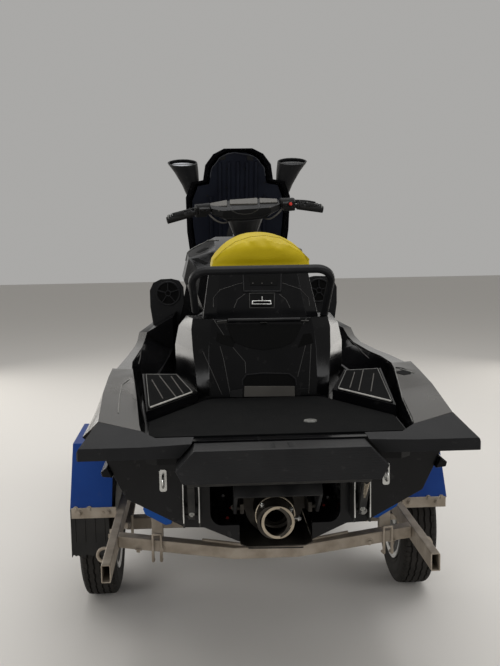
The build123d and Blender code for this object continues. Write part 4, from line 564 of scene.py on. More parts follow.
def bar(name, runs, radius, look, body=BASE, closed=False, smooth=False):
    """Round bars through points, straight between them or smooth."""
    curve = bpy.data.curves.new(name, "CURVE")
    curve.dimensions = "3D"
    curve.bevel_depth = radius
    curve.bevel_resolution = 3
    curve.use_fill_caps = True
    for run in runs:
        if smooth:
            spline = curve.splines.new("BEZIER")
            spline.bezier_points.add(len(run) - 1)
            for dot, place in zip(spline.bezier_points, run):
                dot.co = place
                dot.handle_left_type = dot.handle_right_type = "AUTO"
        else:
            spline = curve.splines.new("POLY")
            spline.points.add(len(run) - 1)
            for dot, place in zip(spline.points, run):
                dot.co = (*place, 1)
        spline.use_cyclic_u = closed
    return dress(bpy.data.objects.new(name, curve), look, body)


def between(run, gap):
    """More points along a run of photograph points, so that a line hugs its surface."""
    dense = []
    for first, last in zip(run, run[1:]):
        steps = max(1, round(math.dist(first, last) / gap))
        dense += [tuple(a + (b - a) * i / steps for a, b in zip(first, last))
                  for i in range(steps)]
    return [*dense, tuple(run[-1])]


def laid_line(name, host, runs, radius, look, body=BASE, closed=False, lift=0.3):
    """A thin raised line on a node, along places seen in the photograph."""
    laid = []
    for run in runs:
        spots = [seen(x, y, host) for x, y in between(run, PHOTO_STEP)]
        laid.append([place + normal * radius * lift for place, normal in spots])
    return bar(name, laid, radius, look, body, closed)


def laid_plates(name, host, outlines, height, look, body=BASE, edge=0.001):
    """Thin plates on a node, with outlines seen in the photograph."""
    forms = Forms()
    for outline in outlines:
        spots = [seen(x, y, host) for x, y in outline]
        normal = sum((n for _, n in spots), Vector()).normalized()
        forms.prism([place - normal * PLATE_SUNK for place, _ in spots],
                    normal * (height + PLATE_SUNK))
    return forms.piece(name, look, body, edge)


def laid_bolts(name, host, places, radius, look, body=BASE):
    """Bolt heads on a node, at places seen in the photograph."""
    forms = Forms()
    for x, y in places:
        place, normal = seen(x, y, host)
        forms.bolt(place, normal, radius)
    return forms.piece(name, look, body, radius * 0.08)


# Cushions

VOXEL = 0.006
SWELL_FRAMES = 20
PRESSURE = 4
# The solid is drawn in by this share of the swelling before the cloth starts
DRAWN_IN = 0.5


def stuffed(name, node, look, cap, body=BASE):
    """A seat grown from its solid: remeshed, swollen as cloth under pressure, then eased."""
    scene = bpy.context.scene
    piece = bpy.data.objects.new(name, nodes[node].data.copy())
    scene.collection.objects.link(piece)
    remesh = piece.modifiers.new("remesh", "REMESH")
    remesh.mode = "VOXEL"
    remesh.voxel_size = VOXEL
    shown = piece.evaluated_get(bpy.context.evaluated_depsgraph_get())
    mesh = bpy.data.meshes.new_from_object(shown)
    piece.modifiers.clear()
    piece.data = mesh
    floor = min(vertex.co.z for vertex in mesh.vertices)
    held = piece.vertex_groups.new(name="held")
    held.add([v.index for v in mesh.vertices if v.co.z < floor + 2 * VOXEL], 1.0, "REPLACE")
    for vertex in mesh.vertices:
        if vertex.co.z > floor + 2 * VOXEL:
            vertex.co -= vertex.normal * cap * DRAWN_IN
    rest = [vertex.co.copy() for vertex in mesh.vertices]
    cloth = piece.modifiers.new("cloth", "CLOTH")
    cloth.settings.quality = 5
    cloth.settings.use_pressure = True
    cloth.settings.uniform_pressure_force = PRESSURE
    cloth.settings.vertex_group_mass = "held"
    cloth.settings.effector_weights.gravity = 0
    cloth.point_cache.frame_start = 1
    cloth.point_cache.frame_end = SWELL_FRAMES
    for step in range(1, SWELL_FRAMES + 1):
        scene.frame_set(step)
    shown = piece.evaluated_get(bpy.context.evaluated_depsgraph_get())
    swollen = [vertex.co.copy() for vertex in shown.to_mesh().vertices]
    shown.to_mesh_clear()
    piece.modifiers.clear()
    scene.frame_set(1)
    for vertex, start, end in zip(mesh.vertices, rest, swollen):
        move = end - start
        vertex.co = start + move * min(1.0, cap / max(move.length, 1e-9))
    smooth = piece.modifiers.new("easing", "SMOOTH")
    smooth.iterations = 10
    piece.modifiers.new("fine", "SUBSURF").levels = 1
    mesh.polygons.foreach_set("use_smooth", [True] * len(mesh.polygons))
    dress(piece, look, body)
    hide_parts(node)
    return piece


# Deck: mats, footwells, gunwales and bumpers

laid_line("port_mat_ribs", "deck_mats",
          [[(151.9, 380.1), (162.9, 398.7)], [(159.5, 376), (176, 397.3)],
           [(171.2, 376.7), (183.5, 393.9)]], 0.0022, "strip_grey")
laid_line("starboard_mat_ribs", "deck_mats",
          [[(354.6, 372.5), (349.8, 388.3)], [(363.2, 370.5), (358.7, 391.1)],
           [(373.8, 373.9), (371, 391.8)]], 0.0022, "strip_grey")


def along_mats(corners):
    """Runs along both ramp mats, through points given as x and y on the deck."""
    return [[touch(aboard(side * x, y, 1.4), DOWN, "deck_mats")[0]
             for x, y in between(corners, 0.02)] for side in BOTH_SIDES]


# Pale strips along the rear edges of the ramp mats: painted highlight.
bar("mat_rear_edges", along_mats([(0.408, 0.363), (0.27, 0.626)]), 0.003, "mat_edge_painted_highlight")
bar("mat_borders", along_mats([(0.27, 0.636), (0.333, 0.846), (0.445, 0.78), (0.413, 0.372)]),
    0.0016, "seam_grey")
bar("footwell_seams",
    [[touch(aboard(0, y, z), Vector((side, 0, 0)), "gunwales")[0]
      for y, z in ((1.3, 0.885), (1.5, 0.885), (1.7, 0.888), (1.9, 0.893))] for side in BOTH_SIDES],
    0.0025, "edge_grey")
# Light grey lines along the folds of the side panels: painted highlight along the fold ridges.
laid_line("port_panel_folds", "side_panels",
          [[(129.2, 379.4), (122, 385), (120, 395), (118.2, 413)]], 0.0022, "seam_grey")
laid_line("starboard_panel_folds", "side_panels",
          [[(400, 369), (414, 373)], [(394.5, 368), (402, 396), (409, 423)]], 0.0022, "seam_grey")
# A near-black plate over the recess in the starboard side panel: painted shade of the recess.
laid_plates("panel_recess", "side_panels",
            [[(393, 370), (396, 367.5), (403, 368), (410, 371.5), (411, 374), (404, 375),
              (396, 373)]], 0.0015, "black_and_painted_shade")


CREST_Y = (0.66, 0.76, 0.86, 0.98, 1.1, 1.25, 1.4, 1.6, 1.8, 1.9, 1.98)
CREST_X = (0.485, 0.49, 0.495, 0.5, 0.505, 0.51, 0.515, 0.52, 0.525, 0.53)


def rail_bead(side):
    """A bead along the crest of a gunwale, from the bumper to the bow deck."""
    crest = []
    for y in CREST_Y:
        spots = [touch(aboard(side * x, y, 1.2), DOWN, "gunwales")[0] for x in CREST_X]
        crest.append(max(spots, key=lambda spot: spot.z) + Vector((0, 0, 0.001)))
    return crest


bar("gunwale_beads", [rail_bead(1), rail_bead(-1)], 0.004, "bumper_grey", smooth=True)


BUMPER_RIBS = 5
BUMPER_RIB_GAP = 0.013


def bumper_ribs():
    """The fine ribs along the top of the centre bumper."""
    forms = Forms()
    for row in range(BUMPER_RIBS):
        y = -0.038 + BUMPER_RIB_GAP * row
        for side in BOTH_SIDES:
            near, _ = touch(aboard(side * 0.02, y, 1.0), DOWN, "centre_bumper")
            far, _ = touch(aboard(side * 0.28, y, 1.0), DOWN, "centre_bumper")
            forms.rod(near, far, 0.0016, 8)
    forms.piece("centre_bumper_ribs", "bumper_grey")


bumper_ribs()

# Tail: cowl, crown, latch and pockets

bar("cowl_lip", [[seen(x, y, "tail_cowl")[0] for x, y in
                  ((199.5, 313), (207.3, 310), (233, 311.5), (270, 310.5), (310, 309.5),
                   (316.6, 311))]], 0.005, "deck_black", smooth=True)
COWL_ROD = [seen(x, y, "tail_cowl") for x, y in ((228, 320.8), (299.9, 319.7))]
bar("cowl_rod", [[place + normal * 0.008 for place, normal in COWL_ROD]], 0.006,
    "bracket_black")
# Grey plates for the cowl's ears: their lightness is painted reflection off the ears' facets.
laid_plates("cowl_ears", "tail_cowl",
            [[(214.5, 313), (226, 312), (227, 323), (217, 324)],
             [(300, 312), (309, 311), (308.5, 322), (301, 322)],
             [(259, 313), (268, 313), (267, 323.6), (260, 323.6)]], 0.012, "edge_grey")
# A near-black plate on the cowl's concave middle panel: the panel's own black, with painted shade
# of its hollow.
laid_plates("cowl_panel", "tail_cowl",
            [[(226.3, 324.5), (229.6, 333), (234, 342), (247.5, 347.6), (263, 350.4),
              (281, 347.6), (292, 343), (296.5, 337.5), (302, 324.5)]], 0.004, "black_and_painted_shade")
# Near-black plates in the cowl's pockets: painted shade of the pockets.
laid_plates("cowl_pockets", "tail_cowl",
            [[(217.3, 332), (224, 335.3), (229.6, 335.3), (235.2, 342), (233, 347),
              (221.8, 344.2), (216.2, 340.9)],
             [(303.2, 334.2), (311, 333), (313.3, 342), (323, 347), (297.7, 347.6)]],
            0.0015, "black_and_painted_shade")
laid_line("cowl_seams", "tail_cowl",
          [[(212.3, 317.5), (224, 335.3)], [(220, 346.5), (223.5, 358.7), (230.7, 396.7)],
           [(233, 347.6), (245.2, 362), (245.8, 373.2)], [(309.4, 313), (303.2, 324)],
           [(311, 344.2), (310, 366.5), (308.8, 393.3)], [(305.5, 345.3), (297.7, 376.6)],
           [(202.8, 351), (221.8, 394.4)]], 0.0014, "edge_grey")
# A near-black plate in the recess above the grip strip: painted shade of the recess.
laid_plates("cowl_recess", "tail_cowl",
            [[(243, 385.5), (243, 380), (247, 375.4), (263, 373.8), (288, 374.4),
              (294.8, 379), (296, 385.5)]], 0.001, "black_and_painted_shade")
laid_line("cowl_recess_rim", "tail_cowl",
          [[(242.4, 385), (242.4, 380), (246.3, 374.9), (263, 373.2), (288.7, 373.8),
            (295.4, 378.8), (296.5, 385)]], 0.003, "bumper_grey")
laid_plates("cowl_grip_strip", "tail_cowl",
            [[(244.5, 386), (294.5, 386), (295, 396.5), (244, 396.5)]], 0.004, "strip_grey")
laid_plates("cowl_corner_caps", "tail_cowl",
            [[(230.2, 391), (242.4, 388.8), (242.4, 397.2), (231, 397)],
             [(296.5, 388.8), (308.8, 388.3), (307.7, 396.7), (296.5, 397)]], 0.004,
            "grip_rubber")
laid_line("crown_latch_frame", "tail_crown",
          [[(243, 272.2), (281, 271.9), (280.6, 291.6), (243.6, 291.6)]], 0.0035, "bumper_grey",
          closed=True)
# A near-black plate in the well inside the latch frame: painted shade of the well.
laid_plates("crown_latch_well", "tail_crown",
            [[(249.7, 276.2), (277.6, 276), (277.4, 285.7), (250, 285.7)]], 0.0012, "black_and_painted_shade")
laid_bolts("crown_bolts", "tail_crown", [(252.8, 283.6), (262, 283.6), (271.5, 283.4)],
           0.0028, "strip_grey")
# A near-black plate in the latch well behind the loop: painted shade of the well.
laid_plates("latch_well", "tail_crown",
            [[(249.7, 293.8), (274.2, 293.5), (273.8, 307.5), (250.2, 307.8)]], 0.0012,
            "black_and_painted_shade")
laid_line("latch_well_rim", "tail_crown",
          [[(249.4, 293.4), (274.5, 293.2), (274.1, 308), (249.8, 308)]], 0.0018, "edge_grey",
          closed=True)


def latch_loop():
    """The stainless loop and pin of the tail latch."""
    runs = []
    for run in (((252, 305), (252.6, 301.8), (270.4, 301.6), (271, 304.8), (252, 305)),
                ((262, 297.4), (262, 301.3))):
        spots = [seen(x, y, "tail_crown") for x, y in run]
        runs.append([place + normal * 0.006 for place, normal in spots])
    return runs


bar("latch_loop", latch_loop(), 0.0025, "stainless")
laid_line("crown_panel_lines", "tail_crown",
          [[(213.5, 307), (213.5, 298), (220, 290), (238, 284), (243, 283)],
           [(282, 283), (300, 289), (308.5, 298), (309.5, 306)],
           [(234, 308), (237.4, 299.6), (245, 294)], [(290, 308), (286, 299.6), (279, 294)]],
          0.0012, "edge_grey")

# Steering: pad, switches, grips and levers

STEER_TURN = math.radians(7)
COLUMN_LEAN = math.radians(27)


def bar_frame():
    """The axes of the handlebar: x along the bar, z up the steering column."""
    along = Vector((math.cos(STEER_TURN), math.sin(STEER_TURN) * math.cos(COLUMN_LEAN),
                    math.sin(STEER_TURN) * math.sin(COLUMN_LEAN)))
    up = Vector((0, -math.sin(COLUMN_LEAN), math.cos(COLUMN_LEAN)))
    turn = Matrix((along, up.cross(along), up)).transposed()
    return Matrix.Translation(aboard(0, 1.89, 1.57)) @ turn.to_4x4()


BARS = bar_frame()
STEERING = "steering"
laid_plates("pad_blocks", "bar_pad",
            [[(210.5, 201.5), (227, 200), (227.5, 206.5), (210.5, 207.5)],
             [(229.6, 199), (257.3, 198), (257.5, 204.5), (229.6, 205)],
             [(259.6, 198), (277, 197.6), (277.5, 203), (259.6, 203.5)]], 0.006, "strip_grey",
            STEERING)
laid_bolts("pad_screws", "bar_pad", [(218.8, 210.5), (269.8, 207.5)], 0.003, "strip_grey",
           STEERING)
laid_line("pad_dish", "bar_pad",
          [[(230, 206), (232.5, 211), (238, 213.6), (245, 214.3), (252, 213.2), (257.5, 210),
            (260, 205.5)]], 0.002, "edge_grey", STEERING)
laid_line("pad_lower_edge", "bar_pad",
          [[(211.5, 214.5), (225.6, 218.3), (245, 218.5), (261, 217), (277, 210)]], 0.0025,
          "grip_rubber", STEERING)


SWITCH_X = 0.208


def switch_pods():
    """Switch housings beside the pad: a tapered sleeve round the bar and a block with two buttons.
    """
    housings, buttons = Forms(), Forms()
    for side in BOTH_SIDES:
        middle = BARS @ Vector((side * 0.212, -0.004, 0.012))
        along = BARS.to_3x3() @ Vector((side, 0, 0))
        housings.rod(middle - along * 0.036, middle + along * 0.03, 0.024, 24, 0.86)
        face = BARS @ Matrix.Translation((side * SWITCH_X, -0.03, 0.012))
        housings.block(face, (-0.026, -0.012, -0.018), (0.026, 0.014, 0.014))
        for step in (-0.011, 0.011):
            spot = face @ Vector((step, -0.012, 0.002))
            way = BARS.to_3x3() @ ASTERN
            buttons.rod(spot - way * 0.002, spot + way * 0.005, 0.0065, 20, 0.9)
    housings.piece("switch_housings", "grip_rubber", STEERING, 0.003)
    buttons.piece("switch_buttons", "bumper_grey", STEERING, 0.001)


switch_pods()


def stop_button():
    """The stop button with its collar, on the starboard housing."""
    place = BARS @ Vector((0.219, -0.042, 0.022))
    way = BARS.to_3x3() @ Vector((0, -1, 0.3)).normalized()
    button, collar = Forms(), Forms()
    button.rod(place, place + way * 0.013, 0.0085, 24, 0.86)
    collar.ring(place - way * 0.001, way, 0.0088, 0.0125, 0.006)
    button.piece("stop_button", "button_red", STEERING, 0.001)
    collar.piece("stop_button_collar", "grip_rubber", STEERING)


stop_button()


# Where four lines start round a grip, in the handlebar's own axes, and where they point
GRIP_PROBES = ((-0.2, 0, AHEAD), (0, 0.3, DOWN), (0, -0.3, UP), (0.2, 0, ASTERN))


def grip_middle(side, reach):
    """The middle of a grip at a distance from the column."""
    hits = (touch(BARS @ Vector((side * reach, y, z)), BARS.to_3x3() @ way, "handlebar")[0]
            for y, z, way in GRIP_PROBES)
    return sum(hits, Vector()) / len(GRIP_PROBES)


def grip_axis(side, reach):
    """The middle of a grip at a distance from the column, and its outward direction."""
    start, end = grip_middle(side, reach), grip_middle(side, reach + 0.004)
    return start, (end - start).normalized()


GRIP_RIBS = 17
GRIP_RIB_GAP = 0.0058
GRIP_START, GRIP_FLANGE, GRIP_END = 0.284, 0.272, 0.382
GRIP_CORE = 0.0155


def grip_sleeves():
    """Ribbed sleeves over the grips, with flanges and pale end rings."""
    ribs, ends = Forms(), Forms()
    for side in BOTH_SIDES:
        for step in range(GRIP_RIBS):
            start, way = grip_axis(side, GRIP_START + step * GRIP_RIB_GAP)
            ribs.ring(start, way, GRIP_CORE, 0.0177, 0.0036, 28)
        start, way = grip_axis(side, GRIP_FLANGE)
        ribs.ring(start, way, GRIP_CORE, 0.0225, 0.005, 32)
        start, way = grip_axis(side, GRIP_END)
        ends.ring(start, way, 0.0125, 0.0192, 0.007, 32)
    ribs.piece("grip_ribs", "grip_rubber", STEERING)
    ends.piece("grip_end_rings", "seam_grey", STEERING)


grip_sleeves()


def hand_lever():
    """The throttle lever in front of the starboard grip."""
    rows = [(0.228, -0.012, 0.02), (0.25, 0.02, 0.018), (0.29, 0.033, 0.01),
            (0.335, 0.034, 0.002), (0.365, 0.028, -0.004)]
    return [BARS @ Vector((x, y, z - 0.012)) for x, y, z in rows]


bar("throttle_lever", [hand_lever()], 0.0048, "grip_rubber", STEERING, smooth=True)
bar("switch_cables",
    [[BARS @ Vector(p) for p in ((-0.19, -0.012, -0.01), (-0.165, -0.04, -0.03),
                                 (-0.13, -0.05, -0.05), (-0.1, -0.035, -0.058),
                                 (-0.075, -0.004, -0.05))],
     [BARS @ Vector(p) for p in ((0.19, -0.012, -0.01), (0.15, -0.04, -0.034),
                                 (0.11, -0.038, -0.055), (0.075, -0.004, -0.05))]],
    0.0042, "strip_grey", STEERING, smooth=True)

# Console and gauge pod

laid_line("console_edge", "console",
          [[(182.5, 260), (187.5, 252.8), (196, 245.5), (205, 240.6), (219, 240.4)]], 0.003,
          "seam_grey")
# Near-black plates in the console's slots: painted shade of the slots.
laid_plates("console_slots", "console",
            [[(196, 252.5), (205, 247.5), (209, 248), (200, 252.5)],
             [(191, 258.8), (197.5, 258), (208.8, 263), (205, 265)]], 0.0012, "black_and_painted_shade")


GAUGE_RADIUS = 0.04
BEZEL_WIDTH = 0.004


def gauge_face():
    """The bezel and dark window of the gauge pod."""
    low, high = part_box("gauge_pod")
    middle = (low + high) / 2
    place, normal = touch(Vector((middle.x, low.y - 0.3, middle.z + 0.005)),
                          AHEAD, "gauge_pod")
    ring, glass = Forms(), Forms()
    window = GAUGE_RADIUS - BEZEL_WIDTH
    ring.ring(place - normal * 0.001, normal, window, GAUGE_RADIUS, BEZEL_WIDTH)
    glass.rod(place - normal * 0.002, place + normal * 0.0015, window, 36)
    ring.piece("gauge_bezel", "seam_grey")
    glass.piece("gauge_window", "deck_black")


gauge_face()

# Hood and mirrors

HOOD = "front_hood"
laid_line("hood_dome_edge", "hood_liner",
          [[(203.5, 176), (208.8, 160.5), (217.5, 155), (235, 152.6), (253.8, 155.6),
            (262, 161.5), (269, 175)]], 0.004, "hood_trim", HOOD)
laid_plates("hood_tabs", "hood_liner",
            [[(219.5, 156), (225.5, 155), (225.5, 159.5), (219.5, 160.5)],
             [(247, 155), (253, 156), (253, 160.5), (247, 159.5)]], 0.006, "grip_rubber", HOOD)
laid_bolts("hood_screws", "hood_liner",
           [(226.9, 168.8), (244.4, 168.8), (226, 187.5), (244.4, 187.5), (207, 182.5),
            (207.4, 195.6), (264.6, 182.5), (264.6, 195.6)], 0.0035, "grip_rubber", HOOD)


def mirror_rims():
    """A slim rim round each mirror glass."""
    runs = []
    glass = nodes["mirror_glass"].data
    for side in BOTH_SIDES:
        corners = [v.co for v in glass.vertices if (v.co.x - CRAFT_X) * side > 0]
        middle = sum(corners, Vector()) / len(corners)
        rear = [c for c in corners if c.y < middle.y + 0.004]
        rear.sort(key=lambda c: math.atan2(c.z - middle.z, c.x - middle.x))
        rim = [p for i, p in enumerate(rear) if i == 0 or (p - rear[i - 1]).length > 0.004]
        runs.append([p + Vector((0, -0.001, 0)) for p in rim])
    return runs


bar("mirror_rims", mirror_rims(), 0.0022, "seam_grey", HOOD, closed=True)

# Speaker pods

SPOKES = 5


def speaker_grilles():
    """A round grille with five spokes on the rear face of each pod."""
    rims, cloth = Forms(), Forms()
    for side in BOTH_SIDES:
        place, normal = touch(aboard(side * 0.402, 1.9, 1.128), AHEAD, "speaker_pods")
        across = normal.cross(UP).normalized()
        up = across.cross(normal).normalized()
        rims.ring(place - normal * 0.002, normal, 0.056, 0.066, 0.008, 48)
        rims.ring(place - normal * 0.002, normal, 0.01, 0.017, 0.008, 24)
        for turn in round_angles(SPOKES):
            way = across * math.cos(turn + 0.3) + up * math.sin(turn + 0.3)
            rims.rod(place + way * 0.015 + normal * 0.003, place + way * 0.058 + normal * 0.003,
                     0.0035, 10)
        cloth.rod(place - normal * 0.002, place + normal * 0.0015, 0.057, 40)
    rims.piece("speaker_rims", "bumper_grey")
    cloth.piece("speaker_cones", "black_and_painted_shade")


speaker_grilles()

# Seats

stuffed("rear_cushion", "rear_seat", "seat_yellow", 0.014)
stuffed("front_cushion", "front_seat", "seat_black", 0.012)


def stitch_row(name, host, run, look):
    """A row of raised stitches on a cushion, along places seen in the photograph."""
    forms = Forms()
    spots = [seen(x, y, host) for x, y in between(run, 1.6)]
    for (start, normal), (end, _) in zip(spots, spots[1:]):
        gap = (end - start) * 0.2
        forms.rod(start + gap + normal * 0.0006, end - gap + normal * 0.0006, 0.0013, 8)
    return forms.piece(name, look)


SEAT_ARC = [(215, 260), (222.5, 251), (235, 241.9), (250, 236.9), (265, 235.6), (280, 238),
            (295, 246), (305, 255), (308, 261)]
stitch_row("seat_stitches", "rear_cushion", SEAT_ARC, "thread_olive")

# Stern: jet nozzle, bucket, transom and boarding step

LUG_ANGLES = (0.5, 2.4, 3.9, 5.4)


def nozzle_rings():
    """The bronze rims and lugs of the jet nozzle."""
    low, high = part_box("nozzle")
    centre = Vector((CRAFT_X, low.y, (low.z + high.z) / 2))
    rims, lugs = Forms(), Forms()
    place, _ = touch(centre + Vector((0, -0.3, 0.048)), AHEAD, "nozzle")
    face = Vector((centre.x, place.y, centre.z))
    rims.ring(face + Vector((0, 0.0004, 0)), ASTERN, 0.0445, 0.0535, 0.0012, 48)
    start, out = touch(face + Vector((0.3, 0.045, 0)), Vector((-1, 0, 0)), "nozzle")
    lugs.rod(start - out * 0.004, start + out * 0.022, 0.004, 14)
    lugs.bolt(start + out * 0.022, out, 0.006)
    for turn in LUG_ANGLES:
        arm = Vector((math.cos(turn), 0, math.sin(turn)))
        hit, normal = touch(face + arm * 0.3 + Vector((0, 0.055, 0)), -arm, "nozzle")
        lugs.bolt(hit, normal, 0.006)
    collar = []
    for turn in round_angles(36):
        arm = Vector((math.cos(turn), 0, math.sin(turn)))
        collar.append(touch(face + arm * 0.3 + Vector((0, 0.078, 0)), -arm, "nozzle")[0])
    bar("nozzle_collar", [collar], 0.0035, "nozzle_bronze", "jet_nozzle", closed=True)
    rims.piece("nozzle_rim", "nozzle_bronze", "jet_nozzle")
    lugs.piece("nozzle_bolts", "stainless", "jet_nozzle")


nozzle_rings()


LONGEST_RIB = 0.16


def bucket_ribs():
    """Cast ribs and pivot bolts on the sides of the reverse bucket."""
    low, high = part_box("reverse_bucket")
    ribs, pins = Forms(), Forms()
    for share in (0.3, 0.5, 0.7):
        x = low.x + (high.x - low.x) * share
        top, foot = (touch(Vector((x, low.y - 0.3, high.z - drop)), AHEAD, "reverse_bucket")[0]
                     for drop in (0.012, 0.1))
        if (top - foot).length < LONGEST_RIB:
            ribs.rod(foot, top, 0.003, 10)
    for side in BOTH_SIDES:
        hit, normal = touch(aboard(side * 0.4, 0.232, 0.56), Vector((-side, 0, 0)),
                            "reverse_bucket")
        pins.bolt(hit, normal, 0.005)
    ribs.piece("bucket_ribs", "bracket_black", "jet_bucket", 0.001)
    pins.piece("bucket_pivot_bolts", "pump_alloy", "jet_bucket")


bucket_ribs()
laid_bolts("transom_bolts", "hull", [(327.7, 497.4), (223, 496)], 0.0045, "stainless")
laid_bolts("transom_plugs", "hull", [(227.5, 518.2), (323.8, 505.3), (231, 508)], 0.0038,
           "button_red")
laid_bolts("pump_bolts", "pump_housing", [(259.4, 488), (274, 490), (295.5, 488)], 0.0075,
           "bracket_black")


CLEATS = 13
CLEAT_MARGIN = 0.05


def step_treads():
    """Grip cleats on the folded step's tread, and nuts on its pivots."""
    low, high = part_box("boarding_step")
    cleats, pivots = Forms(), Forms()
    for index in range(CLEATS):
        x = low.x + CLEAT_MARGIN + (high.x - low.x - 2 * CLEAT_MARGIN) * index / (CLEATS - 1)
        place, normal = touch(Vector((x, low.y + 0.012, high.z + 0.2)), DOWN,
                              "boarding_step")
        cleats.rod(place - Vector((0, 0.008, 0)), place + Vector((0, 0.012, 0)), 0.0022, 8)
    for side in BOTH_SIDES:
        hit, normal = touch(aboard(side * 0.5, 0.185, 0.555), Vector((-side, 0, 0)),
                            "boarding_step")
        pivots.bolt(hit, normal, 0.008)
        rear, out = touch(aboard(side * 0.2755, -0.1, 0.566), AHEAD,
                          "boarding_step")
        pivots.bolt(rear, out, 0.0055)
    cleats.piece("step_cleats", "grip_rubber", "rear_step")
    pivots.piece("step_pivot_nuts", "stainless", "rear_step")


step_treads()


SPRING_TURNS = 16
SPRING_POINTS = 14
SPRING_RADIUS = 0.0075


def step_spring():
    """A small coil spring along the starboard arm of the folded step."""
    start, end = aboard(0.2755, 0.162, 0.586), aboard(0.2755, 0.084, 0.676)
    way = end - start
    turn = way.to_track_quat("Z", "Y").to_matrix()
    count = SPRING_TURNS * SPRING_POINTS
    coil = []
    for index in range(count + 1):
        angle = 2 * math.pi * index / SPRING_POINTS
        coil.append(start + way * index / count
                    + turn @ Vector((SPRING_RADIUS * math.cos(angle),
                                     SPRING_RADIUS * math.sin(angle), 0)))
    bar("step_spring", [coil], 0.0014, "nozzle_bronze", "rear_step")


step_spring()
bar("bracket_edges",
    [[aboard(x, 0.167, 0.535), aboard(x, 0.167, 0.672)]
     for x in (-0.3015, -0.2515, 0.2515, 0.3015)],
    0.0024, "stainless")

# Trailer: wheels, fenders and frame fittings

AXLE = at(0, 0.98, 0.28)
TRACK = 0.625
TREAD_BLOCKS = 72
BLOCK_STEPS = ((0.0, 1), (0.12, 1), (0.16, 0), (0.56, 0), (0.96, 0))
GROOVES = (-0.036, -0.012, 0.012, 0.036)
GROOVE_SHAPE = ((-0.0034, 0.0), (-0.0024, 0.0065), (0.0024, 0.0065), (0.0034, 0.0))
SIDEWALL = ((-0.052, 0.1685), (-0.0565, 0.182), (-0.0615, 0.19), (-0.0635, 0.196),
            (-0.0625, 0.1985), (-0.0668, 0.212), (-0.0688, 0.229), (-0.0684, 0.243),
            (-0.0665, 0.2465), (-0.0668, 0.2495), (-0.0625, 0.262))
TREAD_SWAY = 0.0012
NOTCH_DEPTH = 0.0045


def tyre_profile():
    """Half-section points of the tyre: across the track line, radius, and what each is."""
    bead = [(x, radius, "side") for x, radius in SIDEWALL] + [(-0.0575, 0.2715, "notch")]
    tread = [(-0.0525, 0.2765, "notch"), (-0.045, 0.2785, "notch")]
    for groove in GROOVES:
        for step, depth in GROOVE_SHAPE:
            crown = 0.28 - 0.0016 * (groove / 0.045) ** 2
            tread.append((groove + step, crown - depth, "wave"))
    tread += [(0.045, 0.2785, "notch"), (0.0525, 0.2765, "notch")]
    other = [(-x, r, kind) for x, r, kind in reversed(bead)]
    return bead + tread + other


def make_tyre(side, node, body):
    """A road tyre with four grooves, shoulder notches and rounded sidewalls."""
    profile = tyre_profile()
    points, faces, count = [], [], len(profile)
    rings = TREAD_BLOCKS * len(BLOCK_STEPS)
    for block in range(TREAD_BLOCKS):
        sway = TREAD_SWAY if block % 2 else -TREAD_SWAY
        for share, notched in BLOCK_STEPS:
            turn = 2 * math.pi * (block + share) / TREAD_BLOCKS
            for x, radius, kind in profile:
                if kind == "notch" and notched:
                    radius -= NOTCH_DEPTH
                if kind == "wave":
                    x += sway
                points.append(AXLE + Vector((side * (TRACK + x), radius * math.sin(turn),
                                             radius * math.cos(turn))))
    for ring in range(rings):
        after = (ring + 1) % rings
        for j in range(count - 1):
            faces.append((ring * count + j, after * count + j, after * count + j + 1,
                          ring * count + j + 1))
        faces.append((ring * count + count - 1, after * count + count - 1, after * count,
                      ring * count))
    forms = Forms()
    forms.shell(points, faces)
    tyre = forms.piece(node.replace("tyre", "road_tyre"), "tyre_rubber", body)
    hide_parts(node)


WHEEL_NUTS = 4
NUT_CIRCLE = 0.05


def wheel_fittings(side, rim, body):
    """Nuts, dust cap and valve of one wheel."""
    inward = Vector((-side, 0, 0))
    nuts, cap, valve = Forms(), Forms(), Forms()
    for index in range(WHEEL_NUTS):
        turn = math.pi / 2 * index + 0.5
        start = AXLE + Vector((side, NUT_CIRCLE * math.sin(turn), NUT_CIRCLE * math.cos(turn)))
        hit, _ = touch(start, inward, rim)
        nuts.rod(hit + inward * 0.002, hit - inward * 0.004, 0.0115, 24, 0.9)
        nuts.rod(hit, hit - inward * 0.014, 0.0092, 6, 0.94)
        nuts.rod(hit, hit - inward * 0.018, 0.0052, 12, 0.8)
    hub, _ = touch(AXLE + Vector((side, 0.038, 0)), inward, rim)
    tip = Vector((hub.x, AXLE.y, AXLE.z))
    cap.rod(tip + inward * 0.012, tip - inward * 0.006, 0.031, 32)
    cap.rod(tip - inward * 0.006, tip - inward * 0.01, 0.0325, 32, 0.82)
    hit, _ = touch(AXLE + Vector((side, 0.1, 0.09)), inward, rim)
    valve.rod(hit + inward * 0.004, hit - inward * 0.018, 0.0042, 12, 0.8)
    nuts.piece(rim + "_nuts", "stainless", body, 0.0006)
    cap.piece(rim + "_dust_cap", "galvanised", body, 0.0012)
    valve.piece(rim + "_valve", "roller_rubber", body)


for side, word in ((1, "starboard"), (-1, "port")):
    make_tyre(side, "tyre_" + word, "wheel_" + word)
    wheel_fittings(side, "rim_" + word, "wheel_" + word)


STRAP_HEIGHT = 0.4


